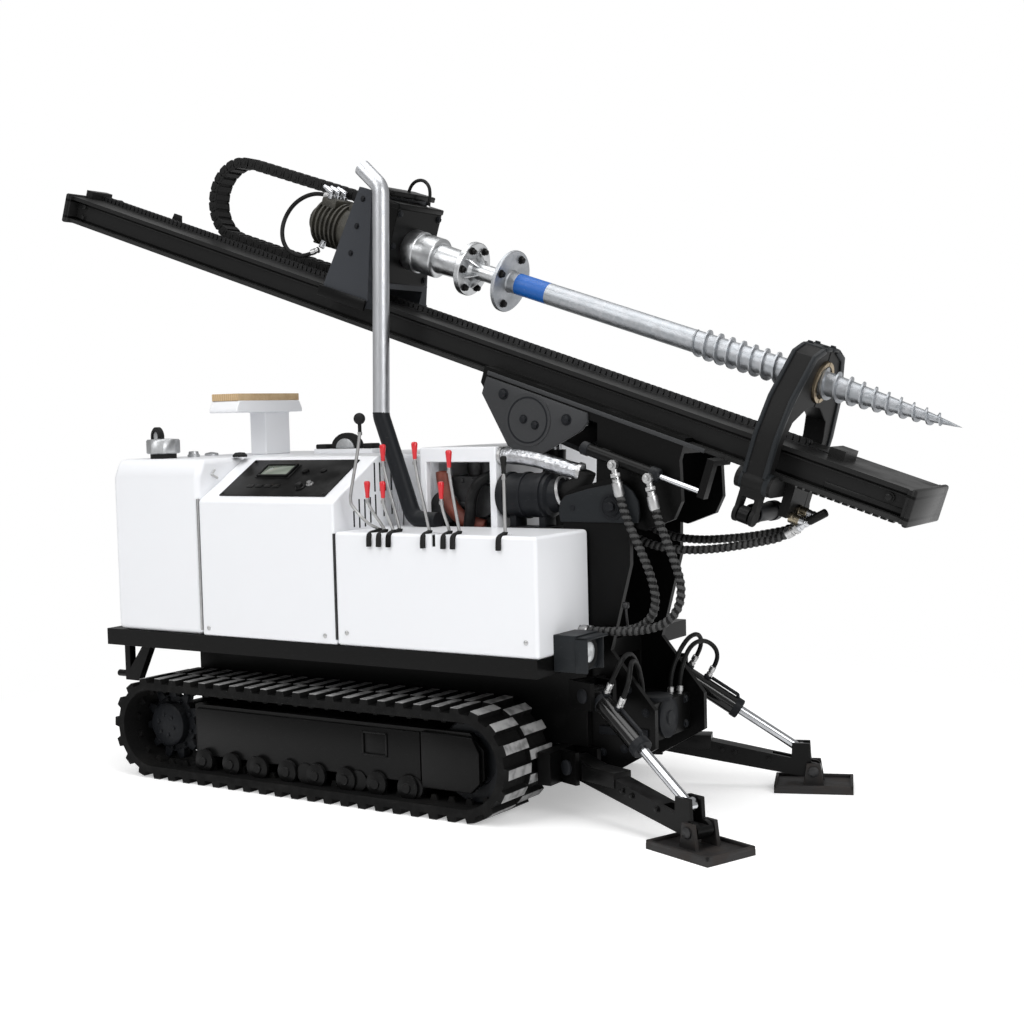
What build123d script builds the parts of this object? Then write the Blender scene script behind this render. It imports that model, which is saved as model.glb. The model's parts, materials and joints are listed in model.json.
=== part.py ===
from build123d import *
import os
from math import cos, sin, tan, pi, radians, hypot

os.makedirs("parts", exist_ok=True)

# Sizes are in millimetres. X points to the mast foot, Y to the far side, Z up from the ground.

# Fits between pieces that move on each other
ROUND_GAP = 0.3
SLIDE_GAP = 0.5
SIDE_GAP = 6.0

# Deck and body
DECK_REAR = -1414.0
DECK_FRONT = 723.0
HALF_WIDTH = 581.0
DECK_BOTTOM = 553.0
DECK_TOP = 621.0
DECK_PLATE = 12.0
RAIL_WIDTH = 60.0
BODY_TOP = 1331.0
TANK_REAR = -1347.0
TANK_FRONT = -863.0
TANK_SHOULDER = 74.0
TANK_CHAMFER = 34.0
CONSOLE_FRONT = -170.0
CONSOLE_FACE_TOP = 1164.0
CONSOLE_TOP_Y = -295.0
CONSOLE_BACK_Y = -130.0
HOOD_REAR = -25.0
HOOD_FRONT = 330.0
HOOD_NEAR_Y = -215.0
HOOD_TOP = 1358.0
HOOD_WALL = 30.0
VALVE_BACK_Y = -217.0
VALVE_FRONT = 729.0
VALVE_TOP = 1053.0

# Tracks
SPROCKET_X = -1181.0
IDLER_X = 381.0
LUG_TIP_RADIUS = 212.0
LUG_HEIGHT = 22.0
BELT_THICK = 30.0
LUG_COUNT = 52
LUG_BASE = 44.0
LUG_TOP = 32.0
TRACK_WIDTH = 300.0
TRACK_OUTER_Y = 577.0
FRAME_OUTER_Y = 510.0
FRAME_WIDTH = 160.0
FRAME_LOW = 112.0
FRAME_HIGH = 320.0
FRAME_REAR = -990.0
FRAME_FRONT = 440.0
ROLLER_RADIUS = 40.0

# Mast line
MAST_X = -54.2
MAST_Z = 1806.0
MAST_SLOPE = 18.75
MAST_HALF = 2080.0
MAST_HALF_HEIGHT = 59.0
MAST_FLANGE_HALF = 150.0
MAST_FLANGE_THICK = 16.0
MAST_WEB_HALF = 115.0
MAST_WALL = 14.0
MAST_END_HALF = 164.0
MAST_END_THICK = 22.0

# Tilt pivot and post
TILT_X = 822.0
TILT_Z = 1137.0
TILT_PIN = 35.0
POST_INNER = 190.0
POST_OUTER = 214.0
CRADLE_OUTER = 184.0
CRADLE_INNER = 160.0
CRADLE_REAR = 354.0
CRADLE_FRONT = 1245.0
CRADLE_BASE = 26.0
GIB_REACH = 122.0
GIB_THICK = 15.0
LIFT_S = 606.0
LIFT_H = -164.0
LIFT_LEAN = 2.3424
LIFT_BARREL = 45.0
LIFT_ROD = 26.0
LIFT_BARREL_LENGTH = 640.0
LIFT_ROD_SHOWN = 116.54
LIFT_FOOT_PIN = 25.0
LIFT_FOOT_HALF = 46.0
LIFT_EYE = 44.0

# Slide cylinder between cradle and mast
SLIDE_Y = -222.0
SLIDE_H = -182.0
SLIDE_BARREL = 22.0
SLIDE_ROD = 11.0
SLIDE_REAR = 880.0
SLIDE_GLAND = 1205.0
SLIDE_ANCHOR = 1372.0
ANCHOR_HALF = 18.0
ANCHOR_LENGTH = 28.0

# Rotary head and screw
SCREW_H = 287.0
HEAD_OUTER = 200.0
HEAD_REAR = -491.0
HEAD_FRONT = -184.0
HEAD_TOP = 482.0
HEAD_FLOOR = 116.0
MOTOR_RADIUS = 100.0
MOTOR_REAR = -749.0
ADAPTOR_REAR = -184.0
TUBE_RADIUS = 38.0
FIN_RADIUS = 51.0
FIN_PITCH = 47.0
TIP_BEYOND = 37.0
TAPER_LENGTH = 489.0
THREAD_LENGTH = 1027.0
SCREW_FLANGE_S = 239.0
SCREW_FLANGE_RADIUS = 115.0

# Cable chain
CHAIN_Y = 95.0
CHAIN_WIDTH = 90.0
CHAIN_THICK = 44.0
CHAIN_LOW_H = 87.0
CHAIN_HIGH_H = 418.0
CHAIN_BEND_S = -1247.0
CHAIN_FIXED_S = -560.0
CHAIN_HEAD_S = -600.0

# Screw guide
GUIDE_SETBACK = 560.0
JAW_DEPTH = 80.0
JAW_PIVOT_Y = 215.0
JAW_PIVOT_H = -80.0
JAW_PIN = 22.0
JAW_LEVER_Y = 225.0
JAW_LEVER_H = -201.0
GUIDE_BORE = 58.0
GUIDE_BUSH = 74.0
CLAMP_BARREL = 32.0
CLAMP_ROD = 14.0

# Stabiliser legs, measured in the upright plane of each leg
LEG_X = 710.0
LEG_Y = 282.0
LEG_Z = 190.0
LEG_COS = 0.9358
LEG_SIN = 0.3525
LEG_REACH = 632.0
PAD_PIN_Z = 75.0
LEG_HALF = 36.0
LEG_EYE_T = 585.0
LEG_EYE_Z = 150.0
LEG_TOP_T = 100.0
LEG_TOP_Z = 465.0
LEG_BARREL = 36.0
LEG_ROD = 18.0
LEG_BARREL_LENGTH = 298.0
LEG_ROD_HELD = 22.0
LEG_BORE_START = 44.0
LEG_LUG_IN = 42.0
LEG_EYE_HALF = 30.0
LEG_TOP_PIN = 18.0
LEG_LUG_OUT = 60.0
PAD_LENGTH = 300.0
PAD_WIDTH = 220.0
PAD_THICK = 20.0

# Hoses and their ports
SLIDE_HOSE = 15.0
CLAMP_HOSE = 15.0
LEG_HOSE = 9.0
HEAD_HOSE = 9.0
TOP_HOSE = 7.0
BEND_SHARE = 0.45
PORT_RADIUS = 13.0
SLIDE_PORTS = (1032.0, 1180.0)
SLIDE_PORT_Y = -253.0
SLIDE_PORT_DROP = 14.0
SLIDE_PORT_STEM = 44.0
LEG_PORTS = (45.0, 125.0)
LEG_PORT_RISE = 58.0
CLAMP_PORTS = ((-72.0, -185.0), (-20.0, -160.0))
CLAMP_ELBOW_S = 1722.0
CLAMP_STEM = 46.0
CLAMP_START = ((870.0, -70.0), (880.0, 70.0))

SLOPE = radians(MAST_SLOPE)
MAST_DIR = (cos(SLOPE), 0, -sin(SLOPE))
MAST_UP = (sin(SLOPE), 0, cos(SLOPE))

# The guide and the screw's point are set from the foot of the mast
JAW_REAR = MAST_HALF - GUIDE_SETBACK
JAW_FRONT = JAW_REAR + JAW_DEPTH
SCREW_TIP = MAST_HALF + TIP_BEYOND
TAPER_START = SCREW_TIP - TAPER_LENGTH
FIN_START = SCREW_TIP - THREAD_LENGTH

# The tilt pivot on the mast's own line
TILT_S = (TILT_X - MAST_X) * cos(SLOPE) - (TILT_Z - MAST_Z) * sin(SLOPE)
TILT_H = (TILT_X - MAST_X) * sin(SLOPE) + (TILT_Z - MAST_Z) * cos(SLOPE)


def mast_point(s, y, h):
    return (MAST_X + s * cos(SLOPE) + h * sin(SLOPE), y, MAST_Z - s * sin(SLOPE) + h * cos(SLOPE))


# The lift cylinder hangs from its pin on the cradle down to its foot on the deck
LIFT_PIN = mast_point(LIFT_S, 0, LIFT_H)
LIFT_REACH = LIFT_BARREL_LENGTH + LIFT_ROD_SHOWN
LIFT_BASE_X = LIFT_PIN[0] - LIFT_REACH * sin(radians(LIFT_LEAN))
LIFT_BASE_Z = LIFT_PIN[2] - LIFT_REACH * cos(radians(LIFT_LEAN))


def mast_side(y):
    return Plane(origin=mast_point(0, y, 0), x_dir=MAST_DIR, z_dir=(0, -1, 0))


def mast_section(s):
    return Plane(origin=mast_point(s, 0, 0), x_dir=(0, 1, 0), z_dir=MAST_DIR)


def mast_top(h):
    return Plane(origin=mast_point(0, 0, h), x_dir=MAST_DIR, z_dir=MAST_UP)


def world_side(y):
    return Plane(origin=(0, y, 0), x_dir=(1, 0, 0), z_dir=(0, -1, 0))


def world_cross(x):
    return Plane(origin=(x, 0, 0), x_dir=(0, 1, 0), z_dir=(1, 0, 0))


def leg_plane(n):
    direction = (LEG_COS, -LEG_SIN, 0)
    outward = (-LEG_SIN, -LEG_COS, 0)
    origin = (LEG_X + n * outward[0], -LEG_Y + n * outward[1], 0)
    return Plane(origin=origin, x_dir=direction, z_dir=outward)


def prism(plane, points, depth, mode=Mode.ADD):
    with BuildSketch(plane) as outline:
        with BuildLine():
            Polyline(*points, close=True)
        make_face()
    extrude(outline.sketch, amount=depth, mode=mode)


def disc(plane, centre, radius, depth, mode=Mode.ADD):
    with BuildSketch(plane) as outline:
        with Locations(centre):
            Circle(radius)
    extrude(outline.sketch, amount=depth, mode=mode)


def block(x0, x1, y0, y1, z0, z1, mode=Mode.ADD):
    with Locations(((x0 + x1) / 2, (y0 + y1) / 2, (z0 + z1) / 2)):
        Box(x1 - x0, y1 - y0, z1 - z0, mode=mode)


def mast_block(s0, s1, y0, y1, h0, h1, mode=Mode.ADD):
    prism(mast_side(y1), [(s0, h0), (s1, h0), (s1, h1), (s0, h1)], y1 - y0, mode)


def rod_between(start, end, radius, mode=Mode.ADD):
    direction = Vector(*end) - Vector(*start)
    with BuildSketch(Plane(origin=start, z_dir=direction)) as outline:
        Circle(radius)
    extrude(outline.sketch, amount=direction.length, mode=mode)


def bent_tube(points, radius, bend):
    with BuildLine() as path:
        FilletPolyline(*points, radius=bend)
    with BuildSketch(Plane(origin=path.line @ 0, z_dir=path.line % 0)) as outline:
        Circle(radius)
    sweep(outline.sketch, path=path.line)


# A hose is a round tube along straight runs joined by arcs as wide as the runs allow
def cord_tube(points, radius):
    bends = []
    for before, corner, after in zip(points, points[1:], points[2:]):
        arriving = Vector(*corner) - Vector(*before)
        leaving = Vector(*after) - Vector(*corner)
        half_turn = radians(arriving.get_angle(leaving)) / 2
        bends.append(BEND_SHARE * min(arriving.length, leaving.length) / tan(half_turn))
    with BuildLine() as path:
        FilletPolyline(*points, radius=bends)
    with BuildSketch(Plane(origin=path.line @ 0, z_dir=path.line % 0)) as outline:
        Circle(radius)
    sweep(outline.sketch, path=path.line)
    print("hose length", round(path.wire().length), "bends", [round(bend) for bend in bends])


def finish(piece, label):
    piece.part.label = label
    export_step(piece.part, "parts/" + label + ".step")


# Deck frame with its rails, spine beams, cross beams and rear brackets
SPINE_INNER = 180.0
SPINE_OUTER = 240.0
SPINE_LOW = 250.0
FRAME_INNER_Y = FRAME_OUTER_Y - FRAME_WIDTH
CROSS_BEAMS = (-900.0, 60.0)
CROSS_LENGTH = 140.0
BRACKET_Y = 500.0
BRACKET_THICK = 34.0
TOW_PIN_Z = 414.0
TOW_PIN_RADIUS = 14.0
FOOT_INNER = LIFT_FOOT_HALF + SIDE_GAP
FOOT_OUTER = FOOT_INNER + 26.0
FOOT_HALF = 60.0
FOOT_TIP = 40.0
with BuildPart() as main_frame:
    block(DECK_REAR, DECK_FRONT, -HALF_WIDTH, HALF_WIDTH, DECK_BOTTOM, DECK_TOP)
    block(DECK_REAR + RAIL_WIDTH, DECK_FRONT - RAIL_WIDTH, -HALF_WIDTH + RAIL_WIDTH, HALF_WIDTH - RAIL_WIDTH,
          DECK_BOTTOM, DECK_TOP - DECK_PLATE, Mode.SUBTRACT)
    for side in (-1, 1):
        inner, outer = sorted((side * SPINE_INNER, side * SPINE_OUTER))
        block(DECK_REAR + 200, DECK_FRONT, inner, outer, SPINE_LOW, DECK_TOP)
        low, high = sorted((side * (BRACKET_Y - BRACKET_THICK), side * BRACKET_Y))
        prism(world_side(high), [(DECK_REAR + 14, DECK_BOTTOM), (DECK_REAR + 14, TOW_PIN_Z - 24),
                                 (DECK_REAR + 90, TOW_PIN_Z - 24), (DECK_REAR + 174, DECK_BOTTOM)], high - low)
        prism(world_side(high), [(DECK_REAR + 44, DECK_BOTTOM - 8), (DECK_REAR + 44, TOW_PIN_Z + 30),
                                 (DECK_REAR + 122, DECK_BOTTOM - 8)], high - low, Mode.SUBTRACT)
        middle = side * (BRACKET_Y - BRACKET_THICK / 2)
        rod_between((DECK_REAR + 20, middle, TOW_PIN_Z), (DECK_REAR - 40, middle, TOW_PIN_Z), TOW_PIN_RADIUS)
    for beam in CROSS_BEAMS:
        block(beam, beam + CROSS_LENGTH, -FRAME_INNER_Y, FRAME_INNER_Y, FRAME_LOW + 70, FRAME_HIGH)
    block(LIFT_BASE_X - FOOT_HALF, LIFT_BASE_X + FOOT_HALF, -SPINE_OUTER, SPINE_OUTER, DECK_BOTTOM, DECK_TOP)
    block(LIFT_BASE_X - FOOT_HALF, LIFT_BASE_X + FOOT_HALF, -FOOT_INNER, FOOT_INNER, DECK_BOTTOM - 1, DECK_TOP + 1,
          Mode.SUBTRACT)
    for side in (-1, 1):
        low, high = sorted((side * FOOT_INNER, side * FOOT_OUTER))
        prism(world_side(high), [(LIFT_BASE_X - FOOT_HALF, DECK_BOTTOM), (LIFT_BASE_X + FOOT_HALF, DECK_BOTTOM),
                                 (LIFT_BASE_X + FOOT_TIP, LIFT_BASE_Z + FOOT_TIP),
                                 (LIFT_BASE_X - FOOT_TIP, LIFT_BASE_Z + FOOT_TIP)], high - low)
    rod_between((LIFT_BASE_X, -FOOT_OUTER, LIFT_BASE_Z), (LIFT_BASE_X, FOOT_OUTER, LIFT_BASE_Z), LIFT_FOOT_PIN)
finish(main_frame, "main_frame")

# Rubber tracks: two rows of lugs half a pitch apart on one belt
BELT_RADIUS = LUG_TIP_RADIUS - LUG_HEIGHT
BELT_BASE = IDLER_X - SPROCKET_X
BELT_LENGTH = 2 * BELT_BASE + 2 * pi * BELT_RADIUS
LUG_PITCH = BELT_LENGTH / LUG_COUNT
HALF_TURN = pi * BELT_RADIUS


def belt_point(u, out):
    u = u % BELT_LENGTH
    r = BELT_RADIUS + out
    if u < BELT_BASE:
        return (SPROCKET_X + u, LUG_TIP_RADIUS - r)
    u -= BELT_BASE
    if u < HALF_TURN:
        a = u / BELT_RADIUS
        return (IDLER_X + r * sin(a), LUG_TIP_RADIUS - r * cos(a))
    u -= HALF_TURN
    if u < BELT_BASE:
        return (IDLER_X - u, LUG_TIP_RADIUS + r)
    a = (u - BELT_BASE) / BELT_RADIUS
    return (SPROCKET_X - r * sin(a), LUG_TIP_RADIUS + r * cos(a))


def lug_outline(shift):
    points = []
    for i in range(LUG_COUNT):
        middle = (i + shift) * LUG_PITCH
        points.append(belt_point(middle - LUG_BASE / 2, 0))
        points.append(belt_point(middle - LUG_TOP / 2, LUG_HEIGHT))
        points.append(belt_point(middle + LUG_TOP / 2, LUG_HEIGHT))
        points.append(belt_point(middle + LUG_BASE / 2, 0))
    return points


with BuildPart() as track_near:
    prism(world_side(-TRACK_OUTER_Y + TRACK_WIDTH / 2), lug_outline(0.25), TRACK_WIDTH / 2)
    prism(world_side(-TRACK_OUTER_Y + TRACK_WIDTH), lug_outline(0.75), TRACK_WIDTH / 2)
    with BuildSketch(world_side(-TRACK_OUTER_Y + TRACK_WIDTH)) as belt_hole:
        with Locations(((SPROCKET_X + IDLER_X) / 2, LUG_TIP_RADIUS)):
            SlotCenterToCenter(BELT_BASE, 2 * (BELT_RADIUS - BELT_THICK))
    extrude(belt_hole.sketch, amount=TRACK_WIDTH, mode=Mode.SUBTRACT)
finish(track_near, "track_near")

with BuildPart() as track_far:
    mirror(track_near.part, about=Plane.XZ)
finish(track_far, "track_far")

# Track frames with their bottom rollers
INNER_RADIUS = BELT_RADIUS - BELT_THICK
ROLLER_Z = LUG_TIP_RADIUS - INNER_RADIUS + ROLLER_RADIUS + ROUND_GAP
WHEEL_HALF = 52.0
FORK_PLATE = 20.0
FORK_START = IDLER_X - INNER_RADIUS - 30.0
ROLLER_COUNT = 5
ROLLER_SPAN = FORK_START - 120.0 - FRAME_REAR
with BuildPart() as track_frames:
    for side in (-1, 1):
        low, high = sorted((side * FRAME_INNER_Y, side * FRAME_OUTER_Y))
        middle = (low + high) / 2
        block(FRAME_REAR, FORK_START, low, high, FRAME_LOW, FRAME_HIGH)
        for edge in (low, high - FORK_PLATE):
            prism(world_side(edge + FORK_PLATE), [(FORK_START, FRAME_LOW), (FRAME_FRONT - 40, FRAME_LOW),
                                                  (FRAME_FRONT, FRAME_LOW + 40), (FRAME_FRONT, FRAME_HIGH - 60),
                                                  (FRAME_FRONT - 60, FRAME_HIGH), (FORK_START, FRAME_HIGH)],
                  FORK_PLATE)
        for i in range(ROLLER_COUNT):
            x = FRAME_REAR + 60 + ROLLER_SPAN * i / (ROLLER_COUNT - 1)
            rod_between((x, low - 15, ROLLER_Z), (x, high + 15, ROLLER_Z), ROLLER_RADIUS)
finish(track_frames, "track_frames")

# Sprockets with their drive hubs, and the front idlers
SPROCKET_RADIUS = INNER_RADIUS - 6.0
HUB_RADIUS = 78.0
HUB_FACE = 482.0
IDLER_RADIUS = INNER_RADIUS - ROUND_GAP
with BuildPart() as track_wheels:
    for side in (-1, 1):
        middle = side * (FRAME_INNER_Y + FRAME_OUTER_Y) / 2
        rod_between((SPROCKET_X, middle - 20, LUG_TIP_RADIUS), (SPROCKET_X, middle + 20, LUG_TIP_RADIUS),
                    SPROCKET_RADIUS)
        rod_between((SPROCKET_X, side * SPINE_OUTER, LUG_TIP_RADIUS), (SPROCKET_X, side * HUB_FACE, LUG_TIP_RADIUS),
                    HUB_RADIUS)
        rod_between((IDLER_X, middle - WHEEL_HALF, LUG_TIP_RADIUS), (IDLER_X, middle + WHEEL_HALF, LUG_TIP_RADIUS),
                    IDLER_RADIUS)
finish(track_wheels, "track_wheels")

# Drive hub carriers between the spine beams and the sprockets
with BuildPart() as hub_carriers:
    for side in (-1, 1):
        low, high = sorted((side * (SPINE_OUTER - 30), side * SPINE_OUTER))
        block(SPROCKET_X - 90, SPROCKET_X + 90, low, high, LUG_TIP_RADIUS - 90, SPINE_LOW)
finish(hub_carriers, "hub_carriers")

# Hydraulic tank across the rear of the deck
with BuildPart() as hydraulic_tank:
    prism(world_cross(TANK_REAR), [(-HALF_WIDTH, DECK_TOP), (HALF_WIDTH, DECK_TOP),
                                   (HALF_WIDTH, BODY_TOP - TANK_SHOULDER), (HALF_WIDTH - TANK_CHAMFER, BODY_TOP),
                                   (-HALF_WIDTH + TANK_CHAMFER, BODY_TOP),
                                   (-HALF_WIDTH, BODY_TOP - TANK_SHOULDER)], TANK_FRONT - TANK_REAR)
finish(hydraulic_tank, "hydraulic_tank")

# Console cabinet with its sloping control face
LOUVRE_COUNT = 6
with BuildPart() as console_cabinet:
    prism(world_cross(TANK_FRONT), [(-HALF_WIDTH, DECK_TOP), (CONSOLE_BACK_Y, DECK_TOP), (CONSOLE_BACK_Y, BODY_TOP),
                                    (CONSOLE_TOP_Y, BODY_TOP), (-HALF_WIDTH, CONSOLE_FACE_TOP)],
          CONSOLE_FRONT - TANK_FRONT)
    for i in range(LOUVRE_COUNT):
        y = VALVE_BACK_Y + 12 + i * 13
        block(CONSOLE_FRONT - 12, CONSOLE_FRONT + 1, y, y + 6, BODY_TOP - 230, BODY_TOP - 60, Mode.SUBTRACT)
finish(console_cabinet, "console_cabinet")

# Black control panel on the slope
RISE = BODY_TOP - CONSOLE_FACE_TOP
RUN = CONSOLE_TOP_Y + HALF_WIDTH
SLOPE_LENGTH = hypot(RISE, RUN)
PANEL_HALF_X = 272.0
PANEL_HALF_V = 130.0
PANEL_X = (TANK_FRONT + CONSOLE_FRONT) / 2 + 13
PANEL_ORIGIN = (PANEL_X, (-HALF_WIDTH + CONSOLE_TOP_Y) / 2, (CONSOLE_FACE_TOP + BODY_TOP) / 2)
PANEL_PLANE = Plane(origin=PANEL_ORIGIN, x_dir=(1, 0, 0), z_dir=(0, -RISE / SLOPE_LENGTH, RUN / SLOPE_LENGTH))
with BuildPart() as control_panel:
    with BuildSketch(PANEL_PLANE) as panel_face:
        Rectangle(2 * PANEL_HALF_X, 2 * PANEL_HALF_V)
    extrude(panel_face.sketch, amount=6)
    with BuildSketch(PANEL_PLANE) as panel_trim:
        with Locations((-PANEL_HALF_X * 0.45, PANEL_HALF_V * 0.35)):
            Rectangle(170, 84)
        with Locations((PANEL_HALF_X * 0.2, PANEL_HALF_V * 0.4), (PANEL_HALF_X * 0.5, PANEL_HALF_V * 0.4),
                       (PANEL_HALF_X * 0.2, -PANEL_HALF_V * 0.4), (PANEL_HALF_X * 0.5, -PANEL_HALF_V * 0.4)):
            Circle(16)
    extrude(panel_trim.sketch, amount=18)
finish(control_panel, "control_panel")

# Far cabinet beside the console
with BuildPart() as far_cabinet:
    prism(world_cross(TANK_FRONT), [(CONSOLE_BACK_Y, DECK_TOP), (HALF_WIDTH, DECK_TOP),
                                    (HALF_WIDTH, BODY_TOP - TANK_SHOULDER), (HALF_WIDTH - TANK_CHAMFER, BODY_TOP),
                                    (CONSOLE_BACK_Y, BODY_TOP)], HOOD_REAR - TANK_FRONT)
finish(far_cabinet, "far_cabinet")

# Engine hood, open to the near side
with BuildPart() as engine_hood:
    block(HOOD_REAR, HOOD_FRONT, HOOD_NEAR_Y, HALF_WIDTH, DECK_TOP, HOOD_TOP)
    block(HOOD_REAR + HOOD_WALL, HOOD_FRONT - HOOD_WALL, HOOD_NEAR_Y + HOOD_WALL, HALF_WIDTH - HOOD_WALL,
          DECK_TOP, HOOD_TOP - HOOD_WALL, Mode.SUBTRACT)
    block(HOOD_REAR + HOOD_WALL, HOOD_FRONT - HOOD_WALL, HOOD_NEAR_Y - 1, HOOD_NEAR_Y + HOOD_WALL,
          DECK_TOP + 40, HOOD_TOP - 58, Mode.SUBTRACT)
    block(HOOD_REAR - 1, HOOD_REAR + HOOD_WALL, HOOD_NEAR_Y + HOOD_WALL, CONSOLE_BACK_Y,
          DECK_TOP + 40, HOOD_TOP - 58, Mode.SUBTRACT)
finish(engine_hood, "engine_hood")

# Engine under the hood
ENGINE_NEAR = -120.0
ENGINE_TOP = 1240.0
with BuildPart() as engine_block:
    block(HOOD_REAR + HOOD_WALL + 10, HOOD_FRONT - HOOD_WALL - 10, ENGINE_NEAR, 430, DECK_TOP, ENGINE_TOP)
    disc(world_side(ENGINE_NEAR), (HOOD_REAR + 242, ENGINE_TOP - 90), 66, 34)
finish(engine_block, "engine_block")

# Valve cover with its lever slots
SLOT_XS = (2.0, 47.0, 92.0, 249.0, 293.0, 339.0, 381.0, 577.0)
SLOT_WIDTH = 16.0
SLOT_BACK = -490.0
SLOT_DEPTH = 45.0
with BuildPart() as valve_cover:
    block(CONSOLE_FRONT, VALVE_FRONT, -HALF_WIDTH, VALVE_BACK_Y, DECK_TOP, VALVE_TOP)
    for x in SLOT_XS:
        block(x - SLOT_WIDTH / 2, x + SLOT_WIDTH / 2, -HALF_WIDTH - 1, SLOT_BACK, VALVE_TOP - SLOT_DEPTH,
              VALVE_TOP + 1, Mode.SUBTRACT)
finish(valve_cover, "valve_cover")

# Control levers: slot, foot depth, grip place and grip top height
LEVERS = (
    (2.0, -512.0, -53.0, -535.0, 1440.0),
    (47.0, -540.0, -27.0, -570.0, 1244.0),
    (92.0, -550.0, 49.0, -575.0, 1244.0),
    (92.0, -510.0, 70.0, -530.0, 1380.0),
    (249.0, -540.0, 212.0, -570.0, 1389.0),
    (339.0, -540.0, 325.0, -570.0, 1245.0),
    (381.0, -540.0, 363.0, -570.0, 1358.0),
    (577.0, -540.0, 590.0, -560.0, 1335.0),
)
LEVER_ROD = 6.0
GRIP_LENGTH = 72.0
GRIP_RADIUS = 15.0
with BuildPart() as control_levers:
    for slot, foot, x, y, top in LEVERS:
        base = VALVE_TOP - SLOT_DEPTH
        bent_tube([(slot, foot, base), (slot, foot, base + 60), (x, y, top - GRIP_LENGTH - 40),
                   (x, y, top - GRIP_LENGTH)], LEVER_ROD, 14)
finish(control_levers, "control_levers")

with BuildPart() as lever_grips:
    for slot, foot, x, y, top in LEVERS:
        rod_between((x, y, top - GRIP_LENGTH), (x, y, top), GRIP_RADIUS)
finish(lever_grips, "lever_grips")

# Air cleaner in front of the hood, on a stand behind the valve cover
CLEANER_Y = -150.0
CLEANER_Z = 1172.0
CLEANER_RADIUS = 90.0
CLEANER_FRONT = 590.0
with BuildPart() as air_cleaner:
    rod_between((HOOD_FRONT, CLEANER_Y, CLEANER_Z), (CLEANER_FRONT, CLEANER_Y, CLEANER_Z), CLEANER_RADIUS)
finish(air_cleaner, "air_cleaner")

# Exhaust: black elbow out of the hood and a bright stack with a bent end
STACK_Y = -262.0
STACK_RADIUS = 33.0
STACK_LOW = (-171.0, 1489.0)
STACK_HIGH = (-140.0, 2373.0)
STACK_END = (-228.0, 2456.0)
ELBOW_FOOT = (-52.0, 1154.0)
with BuildPart() as exhaust_elbow:
    lean = (STACK_HIGH[0] - STACK_LOW[0]) / (STACK_HIGH[1] - STACK_LOW[1])
    bent_tube([(STACK_LOW[0], STACK_Y, STACK_LOW[1]), (STACK_LOW[0] - 50 * lean, STACK_Y, STACK_LOW[1] - 50),
               (ELBOW_FOOT[0], STACK_Y, ELBOW_FOOT[1]), (ELBOW_FOOT[0] + 156, STACK_Y, ELBOW_FOOT[1] - 24),
               (ELBOW_FOOT[0] + 156, ENGINE_NEAR, ELBOW_FOOT[1] - 24)], STACK_RADIUS, 40)
finish(exhaust_elbow, "exhaust_elbow")

with BuildPart() as exhaust_stack:
    bent_tube([(STACK_LOW[0], STACK_Y, STACK_LOW[1]), (STACK_HIGH[0], STACK_Y, STACK_HIGH[1]),
               (STACK_END[0], STACK_Y, STACK_END[1])], STACK_RADIUS, 60)
finish(exhaust_stack, "exhaust_stack")

# Mast rest on the cabinets, with its board
REST_LENGTH = 160.0
REST_REAR = TANK_FRONT - 272.0
REST_HALF = 212.0
REST_RISE = 184.0
REST_CAP = 51.0
BOARD_THICK = 30.0
REST_LOW = BODY_TOP + REST_RISE
REST_HIGH = REST_LOW + REST_CAP
BOARD_TOP = REST_HIGH + BOARD_THICK
with BuildPart() as mast_rest:
    block(REST_REAR + 40, REST_REAR + 130, -2, 158, BODY_TOP, REST_LOW)
    prism(world_cross(REST_REAR), [(-REST_HALF, REST_LOW), (REST_HALF, REST_LOW), (REST_HALF, REST_LOW + 16),
                                     (REST_HALF - 18, REST_HIGH), (-REST_HALF + 18, REST_HIGH),
                                     (-REST_HALF, REST_LOW + 16)], REST_LENGTH)
finish(mast_rest, "mast_rest")

with BuildPart() as rest_board:
    block(REST_REAR + 4, REST_REAR + 154, -REST_HALF + 14, REST_HALF - 14, REST_HIGH, BOARD_TOP)
finish(rest_board, "rest_board")

# Filler cap and breather on the tank
with BuildPart() as filler_cap:
    rod_between((TANK_REAR + 150, -450, BODY_TOP), (TANK_REAR + 150, -450, BODY_TOP + 46), 62)
    rod_between((TANK_REAR + 150, -450, BODY_TOP + 46), (TANK_REAR + 150, -450, BODY_TOP + 118), 42)
finish(filler_cap, "filler_cap")

# Lamp boxes on the front corners
with BuildPart() as lamp_boxes:
    block(VALVE_FRONT, VALVE_FRONT + 95, -480, -330, 567, 698)
    disc(world_cross(VALVE_FRONT + 95), (-405, 632), 52, 8)
finish(lamp_boxes, "lamp_boxes")

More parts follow.
